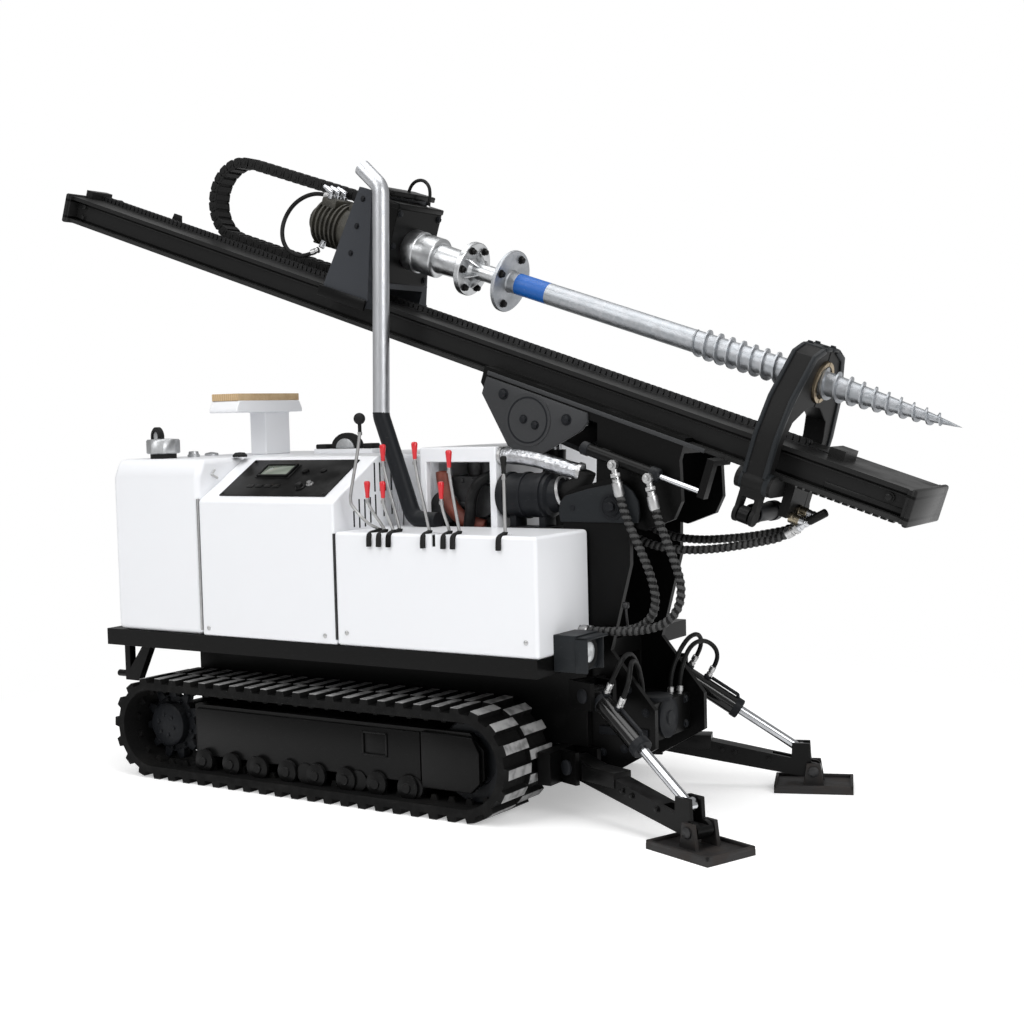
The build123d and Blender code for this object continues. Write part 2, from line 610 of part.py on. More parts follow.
# Post that carries the tilt pivot, with the leg brackets
EAR_RADIUS = 100.0
EAR_REAR_X = 682.0
EAR_REAR_RADIUS = 72.0
POST_TAIL = EAR_REAR_X - 60.0
NECK_X = 812.0
NECK_LOW = 610.0
CHEST_X = 899.0
CHEST_Z = 926.0
SHOULDER_X = 918.0
SHOULDER_Z = 484.0
NOSE_X = 988.0
NOSE_HIGH = 400.0
NOSE_LOW = 260.0
HOUSING_X = 800.0
HOUSING_LOW = 150.0
COVER_X = 905.0
COVER_THICK = 23.0
BACK_X = 640.0
BACK_TOP = 900.0
with BuildPart() as mast_post:
    for side in (-1, 1):
        low, high = sorted((side * POST_INNER, side * POST_OUTER))
        prism(world_side(high), [(POST_TAIL, DECK_TOP), (DECK_FRONT, DECK_TOP), (DECK_FRONT, HOUSING_LOW + 20),
                                 (HOUSING_X, HOUSING_LOW), (NOSE_X, NOSE_LOW), (NOSE_X, NOSE_HIGH),
                                 (SHOULDER_X, SHOULDER_Z), (NECK_X, NECK_LOW), (CHEST_X, CHEST_Z),
                                 (TILT_X + 80, TILT_Z - 60), (TILT_X + 60, TILT_Z), (POST_TAIL, TILT_Z)],
              high - low)
        prism(world_side(high), [(EAR_REAR_X, TILT_Z - 40), (TILT_X, TILT_Z - 40),
                                 (TILT_X - 22, TILT_Z + EAR_RADIUS - 3),
                                 (EAR_REAR_X - 20, TILT_Z + EAR_REAR_RADIUS - 12)], high - low)
        disc(world_side(high), (TILT_X, TILT_Z), EAR_RADIUS, high - low)
        disc(world_side(high), (EAR_REAR_X, TILT_Z - 8), EAR_REAR_RADIUS, high - low)
        outer_end = side * (POST_OUTER + 12)
        inner_end = side * (CRADLE_INNER - 10)
        rod_between((TILT_X, inner_end, TILT_Z), (TILT_X, outer_end, TILT_Z), TILT_PIN)
    block(DECK_FRONT, COVER_X + COVER_THICK, -POST_INNER, POST_INNER, NOSE_LOW, NOSE_HIGH)
    block(BACK_X, BACK_X + COVER_THICK, -POST_INNER, POST_INNER, DECK_TOP, BACK_TOP)
    block(600, 655, -400, 400, 130, SPINE_LOW)
    block(655, DECK_FRONT, -POST_OUTER, POST_OUTER, 200, SPINE_LOW)
    prism(leg_plane(LEG_LUG_IN), [(-75, 130), (50, 130), (50, 250), (-75, 250)], LEG_LUG_OUT - LEG_LUG_IN)
    prism(leg_plane(-LEG_LUG_OUT), [(-75, 130), (50, 130), (50, 250), (-75, 250)], LEG_LUG_OUT - LEG_LUG_IN)
    prism(leg_plane(LEG_LUG_IN), [(20, 415), (145, 415), (145, 515), (20, 515)], LEG_LUG_OUT - LEG_LUG_IN)
    prism(leg_plane(-LEG_LUG_OUT), [(20, 415), (145, 415), (145, 515), (20, 515)], LEG_LUG_OUT - LEG_LUG_IN)
    prism(leg_plane(-95), [(20, 415), (50, 415), (50, 515), (20, 515)], LEG_LUG_OUT + 95)
    disc(leg_plane(-LEG_LUG_OUT), (0, LEG_Z), 20, 2 * LEG_LUG_OUT)
    disc(leg_plane(-LEG_LUG_OUT), (LEG_TOP_T, LEG_TOP_Z), LEG_TOP_PIN, 2 * LEG_LUG_OUT)
    mirror(about=Plane.XZ)
finish(mast_post, "mast_post")

# Tilting cradle under the mast
SLIDE_LOW = -MAST_HALF_HEIGHT - SLIDE_GAP
FLANGE_TOP_LOW = -MAST_HALF_HEIGHT + MAST_FLANGE_THICK + SLIDE_GAP
with BuildPart() as cradle_frame:
    mast_block(CRADLE_REAR, CRADLE_FRONT, -CRADLE_OUTER, CRADLE_OUTER, SLIDE_LOW - CRADLE_BASE, SLIDE_LOW)
    for side in (-1, 1):
        low, high = sorted((side * (MAST_FLANGE_HALF + SLIDE_GAP), side * CRADLE_OUTER))
        mast_block(CRADLE_REAR, CRADLE_FRONT, low, high, SLIDE_LOW - 1, FLANGE_TOP_LOW + GIB_THICK)
        low, high = sorted((side * GIB_REACH, side * CRADLE_OUTER))
        mast_block(CRADLE_REAR, CRADLE_FRONT, low, high, FLANGE_TOP_LOW, FLANGE_TOP_LOW + GIB_THICK)
        low, high = sorted((side * CRADLE_INNER, side * CRADLE_OUTER))
        prism(mast_side(high), [(CRADLE_REAR, SLIDE_LOW - 1), (CRADLE_REAR, -92), (551, -262), (660, -266),
                                (842, -108), (842, SLIDE_LOW - 1)], high - low)
        prism(mast_side(high), [(TILT_S - 164, SLIDE_LOW - 1), (TILT_S - 80, TILT_H), (TILT_S, TILT_H - 60),
                                (TILT_S + 147, TILT_H - 43), (TILT_S + 243, TILT_H + 34),
                                (TILT_S + 253, TILT_H + 104), (CRADLE_FRONT, -110),
                                (CRADLE_FRONT, SLIDE_LOW - 1)], high - low)
        disc(mast_side(high), (TILT_S, TILT_H), EAR_RADIUS - 14, high - low)
        cap_low, cap_high = sorted((side * CRADLE_OUTER, side * (CRADLE_OUTER + 14)))
        disc(mast_side(cap_high), (LIFT_S, LIFT_H), 98, cap_high - cap_low)
        boss_low, boss_high = sorted((side * 30.0, side * CRADLE_INNER))
        disc(mast_side(boss_high), (LIFT_S, LIFT_H), 40, boss_high - boss_low)
    with BuildSketch(Plane(origin=(TILT_X, CRADLE_OUTER, TILT_Z), z_dir=(0, -1, 0))) as tilt_bore:
        Circle(TILT_PIN + ROUND_GAP)
    extrude(tilt_bore.sketch, amount=2 * CRADLE_OUTER, mode=Mode.SUBTRACT)
finish(cradle_frame, "cradle_frame")

# Slide cylinder barrel on the cradle, with a port stem that points down for each hose
PORT_DOWN = Vector(0.2, 0, -0.98).normalized()


def slide_port(s, distance):
    start = Vector(*mast_point(s, SLIDE_PORT_Y, SLIDE_H - SLIDE_PORT_DROP))
    return tuple(start + PORT_DOWN * distance)


with BuildPart() as slide_barrel:
    rod_between(mast_point(SLIDE_REAR, SLIDE_Y, SLIDE_H), mast_point(SLIDE_GLAND, SLIDE_Y, SLIDE_H), SLIDE_BARREL)
    for s in (SLIDE_REAR + 60, SLIDE_GLAND - 60):
        mast_block(s, s + 34, SLIDE_Y, -CRADLE_OUTER, SLIDE_H - 18, SLIDE_H + 18)
    for s in SLIDE_PORTS:
        rod_between(mast_point(s, SLIDE_Y - SLIDE_BARREL + 5, SLIDE_H - SLIDE_PORT_DROP),
                    mast_point(s, SLIDE_PORT_Y - PORT_RADIUS, SLIDE_H - SLIDE_PORT_DROP), PORT_RADIUS + 3)
        rod_between(slide_port(s, 0), slide_port(s, SLIDE_PORT_STEM), PORT_RADIUS - 2)
    rod_between(mast_point(SLIDE_REAR + 40, SLIDE_Y, SLIDE_H), mast_point(SLIDE_GLAND + 1, SLIDE_Y, SLIDE_H),
                SLIDE_ROD + ROUND_GAP, Mode.SUBTRACT)
finish(slide_barrel, "slide_barrel")

# Mast beam with flanges, end plates and stops
with BuildPart() as mast_beam:
    with BuildSketch(mast_section(-MAST_HALF)) as beam_profile:
        Rectangle(2 * MAST_WEB_HALF, 2 * MAST_HALF_HEIGHT)
        with Locations((0, MAST_HALF_HEIGHT - MAST_FLANGE_THICK / 2), (0, -MAST_HALF_HEIGHT + MAST_FLANGE_THICK / 2)):
            Rectangle(2 * MAST_FLANGE_HALF, MAST_FLANGE_THICK)
        Rectangle(2 * (MAST_WEB_HALF - MAST_WALL), 2 * (MAST_HALF_HEIGHT - MAST_FLANGE_THICK), mode=Mode.SUBTRACT)
    extrude(beam_profile.sketch, amount=2 * MAST_HALF)
    for end in (-MAST_HALF, MAST_HALF - MAST_END_THICK):
        mast_block(end, end + MAST_END_THICK, -MAST_END_HALF, MAST_END_HALF, -MAST_HALF_HEIGHT, MAST_HALF_HEIGHT)
    mast_block(-MAST_HALF, -MAST_HALF + 40, -60, 60, MAST_HALF_HEIGHT - 1, MAST_HALF_HEIGHT + 34)
    mast_block(MAST_HALF - 360, MAST_HALF - 300, -60, 60, MAST_HALF_HEIGHT - 1, MAST_HALF_HEIGHT + 34)
    mast_block(SLIDE_ANCHOR, SLIDE_ANCHOR + ANCHOR_LENGTH, SLIDE_Y - ANCHOR_HALF, -100, -78, -MAST_HALF_HEIGHT + 1)
    mast_block(SLIDE_ANCHOR, SLIDE_ANCHOR + ANCHOR_LENGTH, SLIDE_Y - ANCHOR_HALF, SLIDE_Y + ANCHOR_HALF,
               SLIDE_H - ANCHOR_HALF, -70)
finish(mast_beam, "mast_beam")

# Slide rod on the mast
with BuildPart() as slide_rod:
    rod_between(mast_point(SLIDE_REAR + 123, SLIDE_Y, SLIDE_H), mast_point(SLIDE_ANCHOR, SLIDE_Y, SLIDE_H), SLIDE_ROD)
finish(slide_rod, "slide_rod")

# Feed chain along the top of the mast
with BuildPart() as feed_chain:
    mast_block(-MAST_HALF + 40, MAST_HALF - 360, -2, 38, MAST_HALF_HEIGHT, MAST_HALF_HEIGHT + 24)
finish(feed_chain, "feed_chain")

# Bracket under the mast that carries the guide jaws, and the block with the clamp's hose elbows
HOSE_BLOCK = JAW_FRONT + SIDE_GAP + 22.0
CLAMP_DIRECTION = Vector(0.872, 0, 0.49).normalized()


def clamp_port(y, h, distance):
    return tuple(Vector(*mast_point(CLAMP_ELBOW_S, y, h)) - CLAMP_DIRECTION * distance)


with BuildPart() as guide_bracket:
    for s in (JAW_REAR - SIDE_GAP - 22, JAW_FRONT + SIDE_GAP):
        with BuildSketch(mast_section(s)) as bracket_outline:
            with BuildLine():
                Polyline((-JAW_PIVOT_Y, JAW_PIVOT_H - 38), (JAW_PIVOT_Y, JAW_PIVOT_H - 38),
                         (JAW_PIVOT_Y, -MAST_HALF_HEIGHT), (-JAW_PIVOT_Y, -MAST_HALF_HEIGHT), close=True)
            make_face()
            with Locations((-JAW_PIVOT_Y, JAW_PIVOT_H), (JAW_PIVOT_Y, JAW_PIVOT_H)):
                Circle(38)
        extrude(bracket_outline.sketch, amount=22)
    for side in (-1, 1):
        rod_between(mast_point(JAW_REAR - SIDE_GAP - 1, side * JAW_PIVOT_Y, JAW_PIVOT_H),
                    mast_point(JAW_FRONT + SIDE_GAP + 1, side * JAW_PIVOT_Y, JAW_PIVOT_H), JAW_PIN)
    mast_block(HOSE_BLOCK, HOSE_BLOCK + 34, -112, 24, -186, -64)
    for y, h in CLAMP_PORTS:
        rod_between(mast_point(HOSE_BLOCK + 30, y, h), mast_point(CLAMP_ELBOW_S, y, h), PORT_RADIUS)
        with Locations(mast_point(CLAMP_ELBOW_S, y, h)):
            Sphere(PORT_RADIUS + 1)
        rod_between(clamp_port(y, h, 0), clamp_port(y, h, CLAMP_STEM), PORT_RADIUS - 1)
finish(guide_bracket, "guide_bracket")

# Guide jaw arms
LEVER_PIN = 16.0


def jaw(side):
    outline = [(-250, -80), (-252, 80), (-222, 215), (-130, 375), (-62, 402), (-3, 402), (-3, 196), (-60, 190),
               (-150, 140), (-178, 70), (-178, -80)]
    plane = mast_section(JAW_REAR)
    prism(plane, [(-side * y, h) for y, h in outline], JAW_DEPTH)
    disc(plane, (side * JAW_PIVOT_Y, JAW_PIVOT_H), 42, JAW_DEPTH)
    prism(plane, [(side * 190, JAW_PIVOT_H), (side * 245, JAW_PIVOT_H), (side * 248, JAW_LEVER_H),
                  (side * 202, JAW_LEVER_H)], JAW_DEPTH)
    disc(plane, (side * JAW_LEVER_Y, JAW_LEVER_H), 32, JAW_DEPTH)
    disc(plane, (0, SCREW_H), GUIDE_BUSH, JAW_DEPTH, Mode.SUBTRACT)
    disc(plane, (side * JAW_PIVOT_Y, JAW_PIVOT_H), JAW_PIN + ROUND_GAP, JAW_DEPTH, Mode.SUBTRACT)
    mast_block(JAW_REAR + 16, JAW_FRONT - 16, -300, 300, JAW_LEVER_H - 60, JAW_LEVER_H + 62, Mode.SUBTRACT)
    disc(plane, (side * JAW_LEVER_Y, JAW_LEVER_H), LEVER_PIN, JAW_DEPTH)


with BuildPart() as guide_jaw_near:
    jaw(-1)
finish(guide_jaw_near, "guide_jaw_near")

with BuildPart() as guide_jaw_far:
    jaw(1)
finish(guide_jaw_far, "guide_jaw_far")


# Bronze bush halves in the jaws
def bush(side):
    plane = mast_section(JAW_REAR - 10)
    disc(plane, (0, SCREW_H), GUIDE_BUSH, JAW_DEPTH + 20)
    disc(plane, (0, SCREW_H), GUIDE_BORE, JAW_DEPTH + 20, Mode.SUBTRACT)
    low, high = sorted((side * 3, -side * 200))
    mast_block(JAW_REAR - 20, JAW_FRONT + 20, low, high, SCREW_H - 200, SCREW_H + 200, Mode.SUBTRACT)


with BuildPart() as guide_bush_near:
    bush(-1)
finish(guide_bush_near, "guide_bush_near")

with BuildPart() as guide_bush_far:
    bush(1)
finish(guide_bush_far, "guide_bush_far")

# Clamp cylinder between the jaw levers
CLAMP_S = (JAW_REAR + JAW_FRONT) / 2
CLAMP_EYE = 30.0
CLAMP_GLAND_Y = 30.0
CLAMP_EYE_HALF = JAW_DEPTH / 2 - 16 - SIDE_GAP


def clamp_eye(side):
    disc(mast_section(CLAMP_S - CLAMP_EYE_HALF), (side * JAW_LEVER_Y, JAW_LEVER_H), CLAMP_EYE, 2 * CLAMP_EYE_HALF)
    disc(mast_section(CLAMP_S - CLAMP_EYE_HALF), (side * JAW_LEVER_Y, JAW_LEVER_H), LEVER_PIN + ROUND_GAP,
         2 * CLAMP_EYE_HALF, Mode.SUBTRACT)


with BuildPart() as clamp_barrel:
    rod_between(mast_point(CLAMP_S, -JAW_LEVER_Y + 62, JAW_LEVER_H), mast_point(CLAMP_S, CLAMP_GLAND_Y, JAW_LEVER_H),
                CLAMP_BARREL)
    rod_between(mast_point(CLAMP_S, -JAW_LEVER_Y + 20, JAW_LEVER_H), mast_point(CLAMP_S, -JAW_LEVER_Y + 70, JAW_LEVER_H),
                CLAMP_EYE_HALF - 3)
    rod_between(mast_point(CLAMP_S, -JAW_LEVER_Y + 80, JAW_LEVER_H),
                mast_point(CLAMP_S, CLAMP_GLAND_Y + 1, JAW_LEVER_H), CLAMP_ROD + ROUND_GAP, Mode.SUBTRACT)
    clamp_eye(-1)
finish(clamp_barrel, "clamp_barrel")

with BuildPart() as clamp_rod:
    rod_between(mast_point(CLAMP_S, 8, JAW_LEVER_H), mast_point(CLAMP_S, JAW_LEVER_Y - 20, JAW_LEVER_H), CLAMP_ROD)
    clamp_eye(1)
finish(clamp_rod, "clamp_rod")

# Carriage of the rotary head, hooked on the mast's top flange
FLANGE_LOW = MAST_HALF_HEIGHT - MAST_FLANGE_THICK - SLIDE_GAP
CARRIAGE_IN = MAST_FLANGE_HALF + SLIDE_GAP
GUSSET_INNER = 176.0
with BuildPart() as head_carriage:
    mast_block(HEAD_REAR, HEAD_FRONT, -GUSSET_INNER, GUSSET_INNER, HEAD_FLOOR, HEAD_FLOOR + 24)
    for side in (-1, 1):
        low, high = sorted((side * CARRIAGE_IN, side * GUSSET_INNER))
        mast_block(HEAD_REAR, HEAD_FRONT, low, high, FLANGE_LOW - GIB_THICK, HEAD_FLOOR + 1)
        low, high = sorted((side * GIB_REACH, side * GUSSET_INNER))
        mast_block(HEAD_REAR, HEAD_FRONT, low, high, FLANGE_LOW - GIB_THICK, FLANGE_LOW)
        low, high = sorted((side * (CHAIN_Y + CHAIN_WIDTH / 2 + 7), side * GUSSET_INNER))
        mast_block(HEAD_REAR, HEAD_FRONT, low, high, MAST_HALF_HEIGHT + SLIDE_GAP, HEAD_FLOOR + 1)
        low, high = sorted((side * GUSSET_INNER, side * HEAD_OUTER))
        prism(mast_side(high), [(HEAD_REAR, 28), (-249, 28), (-249, 60), (-352, HEAD_TOP), (-415, HEAD_TOP)],
              high - low)
    mast_block(-400, -352, -GUSSET_INNER - 1, GUSSET_INNER + 1, HEAD_FLOOR + 1, HEAD_TOP - 10)
finish(head_carriage, "head_carriage")

# Gearbox in front of the carriage plate
with BuildPart() as head_gearbox:
    mast_block(-352, -240, -150, 150, HEAD_FLOOR + 24, HEAD_TOP - 40)
    disc(mast_section(-240), (0, SCREW_H), 120, -ADAPTOR_REAR - 184 + 56)
finish(head_gearbox, "head_gearbox")

# Hydraulic motor behind the carriage plate, with an upper and a lower port
MOTOR_PORT_HIGH = (-690.0, -30.0, 396.0)
MOTOR_PORT_LOW = (-664.0, -68.0, 170.0)
with BuildPart() as head_motor:
    disc(mast_section(MOTOR_REAR), (0, SCREW_H), MOTOR_RADIUS, -400 - MOTOR_REAR)
    rod_between(mast_point(-660, -30, 360), mast_point(-660, -30, 411), PORT_RADIUS + 3)
    rod_between(mast_point(-655, -30, 396), mast_point(*MOTOR_PORT_HIGH), PORT_RADIUS - 1)
    rod_between(mast_point(-620, -50, 215), mast_point(*MOTOR_PORT_LOW), PORT_RADIUS - 1)
finish(head_motor, "head_motor")

# Cable chain: run on the mast, bend, and run to the head
CHAIN_LOW_Y = CHAIN_Y - CHAIN_WIDTH / 2
CHAIN_RADIUS = (CHAIN_HIGH_H - CHAIN_LOW_H) / 2
CHAIN_MID_H = (CHAIN_HIGH_H + CHAIN_LOW_H) / 2
with BuildPart() as chain_lower:
    mast_block(CHAIN_BEND_S, CHAIN_FIXED_S, CHAIN_LOW_Y, CHAIN_LOW_Y + CHAIN_WIDTH, MAST_HALF_HEIGHT,
               CHAIN_LOW_H + CHAIN_THICK / 2)
finish(chain_lower, "chain_lower")

with BuildPart() as chain_bend:
    with BuildSketch(mast_side(CHAIN_LOW_Y + CHAIN_WIDTH)) as bend_outline:
        with Locations((CHAIN_BEND_S, CHAIN_MID_H)):
            Circle(CHAIN_RADIUS + CHAIN_THICK / 2)
            Circle(CHAIN_RADIUS - CHAIN_THICK / 2, mode=Mode.SUBTRACT)
        with Locations((CHAIN_BEND_S + 200, CHAIN_MID_H)):
            Rectangle(400, 600, mode=Mode.SUBTRACT)
    extrude(bend_outline.sketch, amount=CHAIN_WIDTH)
finish(chain_bend, "chain_bend")

with BuildPart() as chain_upper:
    mast_block(CHAIN_BEND_S, CHAIN_HEAD_S, CHAIN_LOW_Y, CHAIN_LOW_Y + CHAIN_WIDTH, CHAIN_HIGH_H - CHAIN_THICK / 2,
               CHAIN_HIGH_H + CHAIN_THICK / 2)
finish(chain_upper, "chain_upper")

# Arm on the head that holds the end of the cable chain
with BuildPart() as chain_arm:
    mast_block(CHAIN_HEAD_S, -400, CHAIN_LOW_Y, CHAIN_LOW_Y + CHAIN_WIDTH, CHAIN_HIGH_H - 14, CHAIN_HIGH_H + 14)
finish(chain_arm, "chain_arm")

# Drive adaptor turned by the gearbox
def turned(profile):
    with BuildSketch(mast_side(0)) as outline:
        with BuildLine():
            Polyline(*[(s, SCREW_H + r) for s, r in profile], close=True)
        make_face()
    revolve(outline.sketch, axis=Axis(mast_point(0, 0, SCREW_H), MAST_DIR))


with BuildPart() as drive_adaptor:
    turned([(ADAPTOR_REAR + SLIDE_GAP, 0), (ADAPTOR_REAR + SLIDE_GAP, 73), (-92, 73), (-92, 51), (45, 51), (45, 101),
            (66, 101), (66, 30), (SCREW_FLANGE_S, 30), (SCREW_FLANGE_S, 0)])
finish(drive_adaptor, "drive_adaptor")

# Ground screw with its flange, tube, thread ridges and point
with BuildPart() as ground_screw:
    outline = [(SCREW_FLANGE_S, 0), (SCREW_FLANGE_S, SCREW_FLANGE_RADIUS), (SCREW_FLANGE_S + 11, SCREW_FLANGE_RADIUS),
               (SCREW_FLANGE_S + 11, TUBE_RADIUS)]
    s = FIN_START
    while s < TAPER_START:
        outline += [(s - 5, TUBE_RADIUS), (s, FIN_RADIUS), (s + 5, TUBE_RADIUS)]
        s += FIN_PITCH
    outline.append((TAPER_START, TUBE_RADIUS))
    while s < SCREW_TIP - 60:
        core = TUBE_RADIUS * (SCREW_TIP - s) / (SCREW_TIP - TAPER_START) + 4
        outline += [(s - 5, core), (s, core + 11), (s + 5, core)]
        s += FIN_PITCH
    outline += [(SCREW_TIP - 30, 5), (SCREW_TIP, 0)]
    turned(outline)
finish(ground_screw, "ground_screw")

# Lift cylinder under the mast
LIFT_FOOT = (LIFT_BASE_X, 0, LIFT_BASE_Z)
LIFT_LINE = Vector(*LIFT_PIN) - Vector(*LIFT_FOOT)
LIFT_UNIT = LIFT_LINE.normalized()


def lift_point(distance):
    return tuple(Vector(*LIFT_FOOT) + LIFT_UNIT * distance)


with BuildPart() as lift_barrel:
    rod_between(lift_point(34), lift_point(LIFT_BARREL_LENGTH), LIFT_BARREL)
    rod_between((LIFT_BASE_X, -LIFT_FOOT_HALF, LIFT_BASE_Z), (LIFT_BASE_X, LIFT_FOOT_HALF, LIFT_BASE_Z), LIFT_EYE)
    rod_between(lift_point(70), lift_point(LIFT_BARREL_LENGTH + 1), LIFT_ROD + ROUND_GAP, Mode.SUBTRACT)
    rod_between((LIFT_BASE_X, -LIFT_FOOT_HALF, LIFT_BASE_Z), (LIFT_BASE_X, LIFT_FOOT_HALF, LIFT_BASE_Z),
                LIFT_FOOT_PIN + ROUND_GAP, Mode.SUBTRACT)
finish(lift_barrel, "lift_barrel")

with BuildPart() as lift_rod:
    rod_between(lift_point(270), lift_point(LIFT_LINE.length - 30), LIFT_ROD)
    rod_between((LIFT_PIN[0], -25, LIFT_PIN[2]), (LIFT_PIN[0], 25, LIFT_PIN[2]), 38)
finish(lift_rod, "lift_rod")

# Stabiliser leg, its pad and its cylinder on the near side
LEG_BORE = 20.0
PAD_PIN = 14.0
with BuildPart() as leg_near:
    prism(leg_plane(-LEG_HALF), [(0, LEG_Z - 40), (LEG_REACH, PAD_PIN_Z - 30), (LEG_REACH, PAD_PIN_Z + 30),
                                 (LEG_EYE_T - 50, PAD_PIN_Z + 50), (0, LEG_Z + 40)], 2 * LEG_HALF)
    disc(leg_plane(-LEG_HALF), (0, LEG_Z), 40, 2 * LEG_HALF)
    disc(leg_plane(-LEG_HALF), (LEG_REACH, PAD_PIN_Z), 30, 2 * LEG_HALF)
    prism(leg_plane(-LEG_HALF), [(LEG_EYE_T - 40, PAD_PIN_Z), (LEG_EYE_T + 40, PAD_PIN_Z),
                                 (LEG_EYE_T + 34, LEG_EYE_Z + 30), (LEG_EYE_T - 34, LEG_EYE_Z + 30)], 2 * LEG_HALF)
    prism(leg_plane(-20), [(LEG_EYE_T - 110, 92), (LEG_EYE_T + 90, 92), (LEG_EYE_T + 90, 260),
                           (LEG_EYE_T - 110, 260)], 40, Mode.SUBTRACT)
    disc(leg_plane(-LEG_HALF), (0, LEG_Z), LEG_BORE + ROUND_GAP, 2 * LEG_HALF, Mode.SUBTRACT)
    disc(leg_plane(-LEG_HALF), (LEG_REACH, PAD_PIN_Z), PAD_PIN + ROUND_GAP, 2 * LEG_HALF, Mode.SUBTRACT)
finish(leg_near, "leg_near")

with BuildPart() as pad_near:
    prism(leg_plane(-PAD_WIDTH / 2), [(LEG_REACH - PAD_LENGTH / 2, 0), (LEG_REACH + PAD_LENGTH / 2, 0),
                                      (LEG_REACH + PAD_LENGTH / 2, PAD_THICK), (LEG_REACH - PAD_LENGTH / 2, PAD_THICK)],
          PAD_WIDTH)
    for n in (LEG_HALF + SIDE_GAP, -LEG_HALF - SIDE_GAP - 16):
        prism(leg_plane(n), [(LEG_REACH - 40, PAD_THICK), (LEG_REACH + 40, PAD_THICK), (LEG_REACH + 26, PAD_PIN_Z + 30),
                             (LEG_REACH - 26, PAD_PIN_Z + 30)], 16)
    disc(leg_plane(-LEG_HALF - SIDE_GAP - 16), (LEG_REACH, PAD_PIN_Z), PAD_PIN, 2 * (LEG_HALF + SIDE_GAP + 16))
finish(pad_near, "pad_near")


def leg_line(distance):
    run = LEG_EYE_T - LEG_TOP_T
    drop = LEG_EYE_Z - LEG_TOP_Z
    length = hypot(run, drop)
    t = LEG_TOP_T + run * distance / length
    z = LEG_TOP_Z + drop * distance / length
    return (LEG_X + LEG_COS * t, -LEG_Y - LEG_SIN * t, z)


LEG_CYLINDER = hypot(LEG_EYE_T - LEG_TOP_T, LEG_EYE_Z - LEG_TOP_Z)
LEG_FALL = (LEG_TOP_Z - LEG_EYE_Z) / LEG_CYLINDER
LEG_LIFT = (LEG_EYE_T - LEG_TOP_T) / LEG_CYLINDER
LEG_RISE = Vector(LEG_COS * LEG_FALL, -LEG_SIN * LEG_FALL, LEG_LIFT)


def leg_port(distance, rise):
    return tuple(Vector(*leg_line(distance)) + LEG_RISE * rise)


with BuildPart() as leg_barrel_near:
    rod_between(leg_line(24), leg_line(LEG_BARREL_LENGTH), LEG_BARREL)
    disc(leg_plane(-LEG_EYE_HALF), (LEG_TOP_T, LEG_TOP_Z), 34, 2 * LEG_EYE_HALF)
    for distance in LEG_PORTS:
        rod_between(leg_port(distance, LEG_BARREL - 8), leg_port(distance, LEG_PORT_RISE), PORT_RADIUS - 1)
    rod_between(leg_line(LEG_BORE_START), leg_line(LEG_BARREL_LENGTH + 1), LEG_ROD + ROUND_GAP, Mode.SUBTRACT)
    disc(leg_plane(-LEG_BARREL), (LEG_TOP_T, LEG_TOP_Z), LEG_TOP_PIN + ROUND_GAP, 2 * LEG_BARREL, Mode.SUBTRACT)
finish(leg_barrel_near, "leg_barrel_near")

with BuildPart() as leg_rod_near:
    rod_between(leg_line(LEG_BARREL_LENGTH - LEG_ROD_HELD), leg_line(LEG_CYLINDER - 20), LEG_ROD)
    disc(leg_plane(-14), (LEG_EYE_T, LEG_EYE_Z), 27, 28)
finish(leg_rod_near, "leg_rod_near")

# The far leg set mirrors the near one
for near, label in ((leg_near, "leg_far"), (pad_near, "pad_far"), (leg_barrel_near, "leg_barrel_far"),
                    (leg_rod_near, "leg_rod_far")):
    with BuildPart() as far_piece:
        mirror(near.part, about=Plane.XZ)
    finish(far_piece, label)

# Hoses of the slide cylinder, from its ports down to the front wall of the valve cover
with BuildPart() as slide_hoses:
    cord_tube([slide_port(SLIDE_PORTS[0], SLIDE_PORT_STEM), slide_port(SLIDE_PORTS[0], SLIDE_PORT_STEM + 84),
               (922, -253, 1068), (970, -253, 972), (1008, -253, 882), (1024, -253, 802), (1000, -253, 736),
               (938, -253, 699), (834, -253, 684), (VALVE_FRONT, -253, 684)], SLIDE_HOSE)
    cord_tube([slide_port(SLIDE_PORTS[1], SLIDE_PORT_STEM), slide_port(SLIDE_PORTS[1], SLIDE_PORT_STEM + 72),
               (1062, -258, 1040), (1104, -266, 952), (1136, -274, 866), (1128, -282, 786), (1076, -288, 728),
               (984, -290, 700), (852, -290, 690), (VALVE_FRONT, -290, 690)], SLIDE_HOSE)
finish(slide_hoses, "slide_hoses")

# Hoses of the clamp cylinder, from under the cradle to the elbows on the guide bracket
CRADLE_UNDER = SLIDE_LOW - CRADLE_BASE
CLAMP_ROUTES = (
    ((712, -70, 1270), (728, -70, 1166), (772, -70, 1074), (846, -70, 1010), (940, -70, 980), (1050, -70, 970),
     (1162, -71, 977), (1268, -72, 993), (1366, -72, 1012)),
    ((722, 70, 1270), (740, 70, 1170), (786, 69, 1084), (862, 64, 1028), (960, 52, 1004), (1066, 37, 1000),
     (1172, 21, 1008), (1276, 4, 1020), (1372, -11, 1037)),
)
with BuildPart() as clamp_hoses:
    for (s, side), route, (y, h) in zip(CLAMP_START, CLAMP_ROUTES, CLAMP_PORTS):
        cord_tube([mast_point(s, side, CRADLE_UNDER), mast_point(s, side, CRADLE_UNDER - 76), *route,
                   clamp_port(y, h, CLAMP_STEM + 62), clamp_port(y, h, CLAMP_STEM)], CLAMP_HOSE)
finish(clamp_hoses, "clamp_hoses")

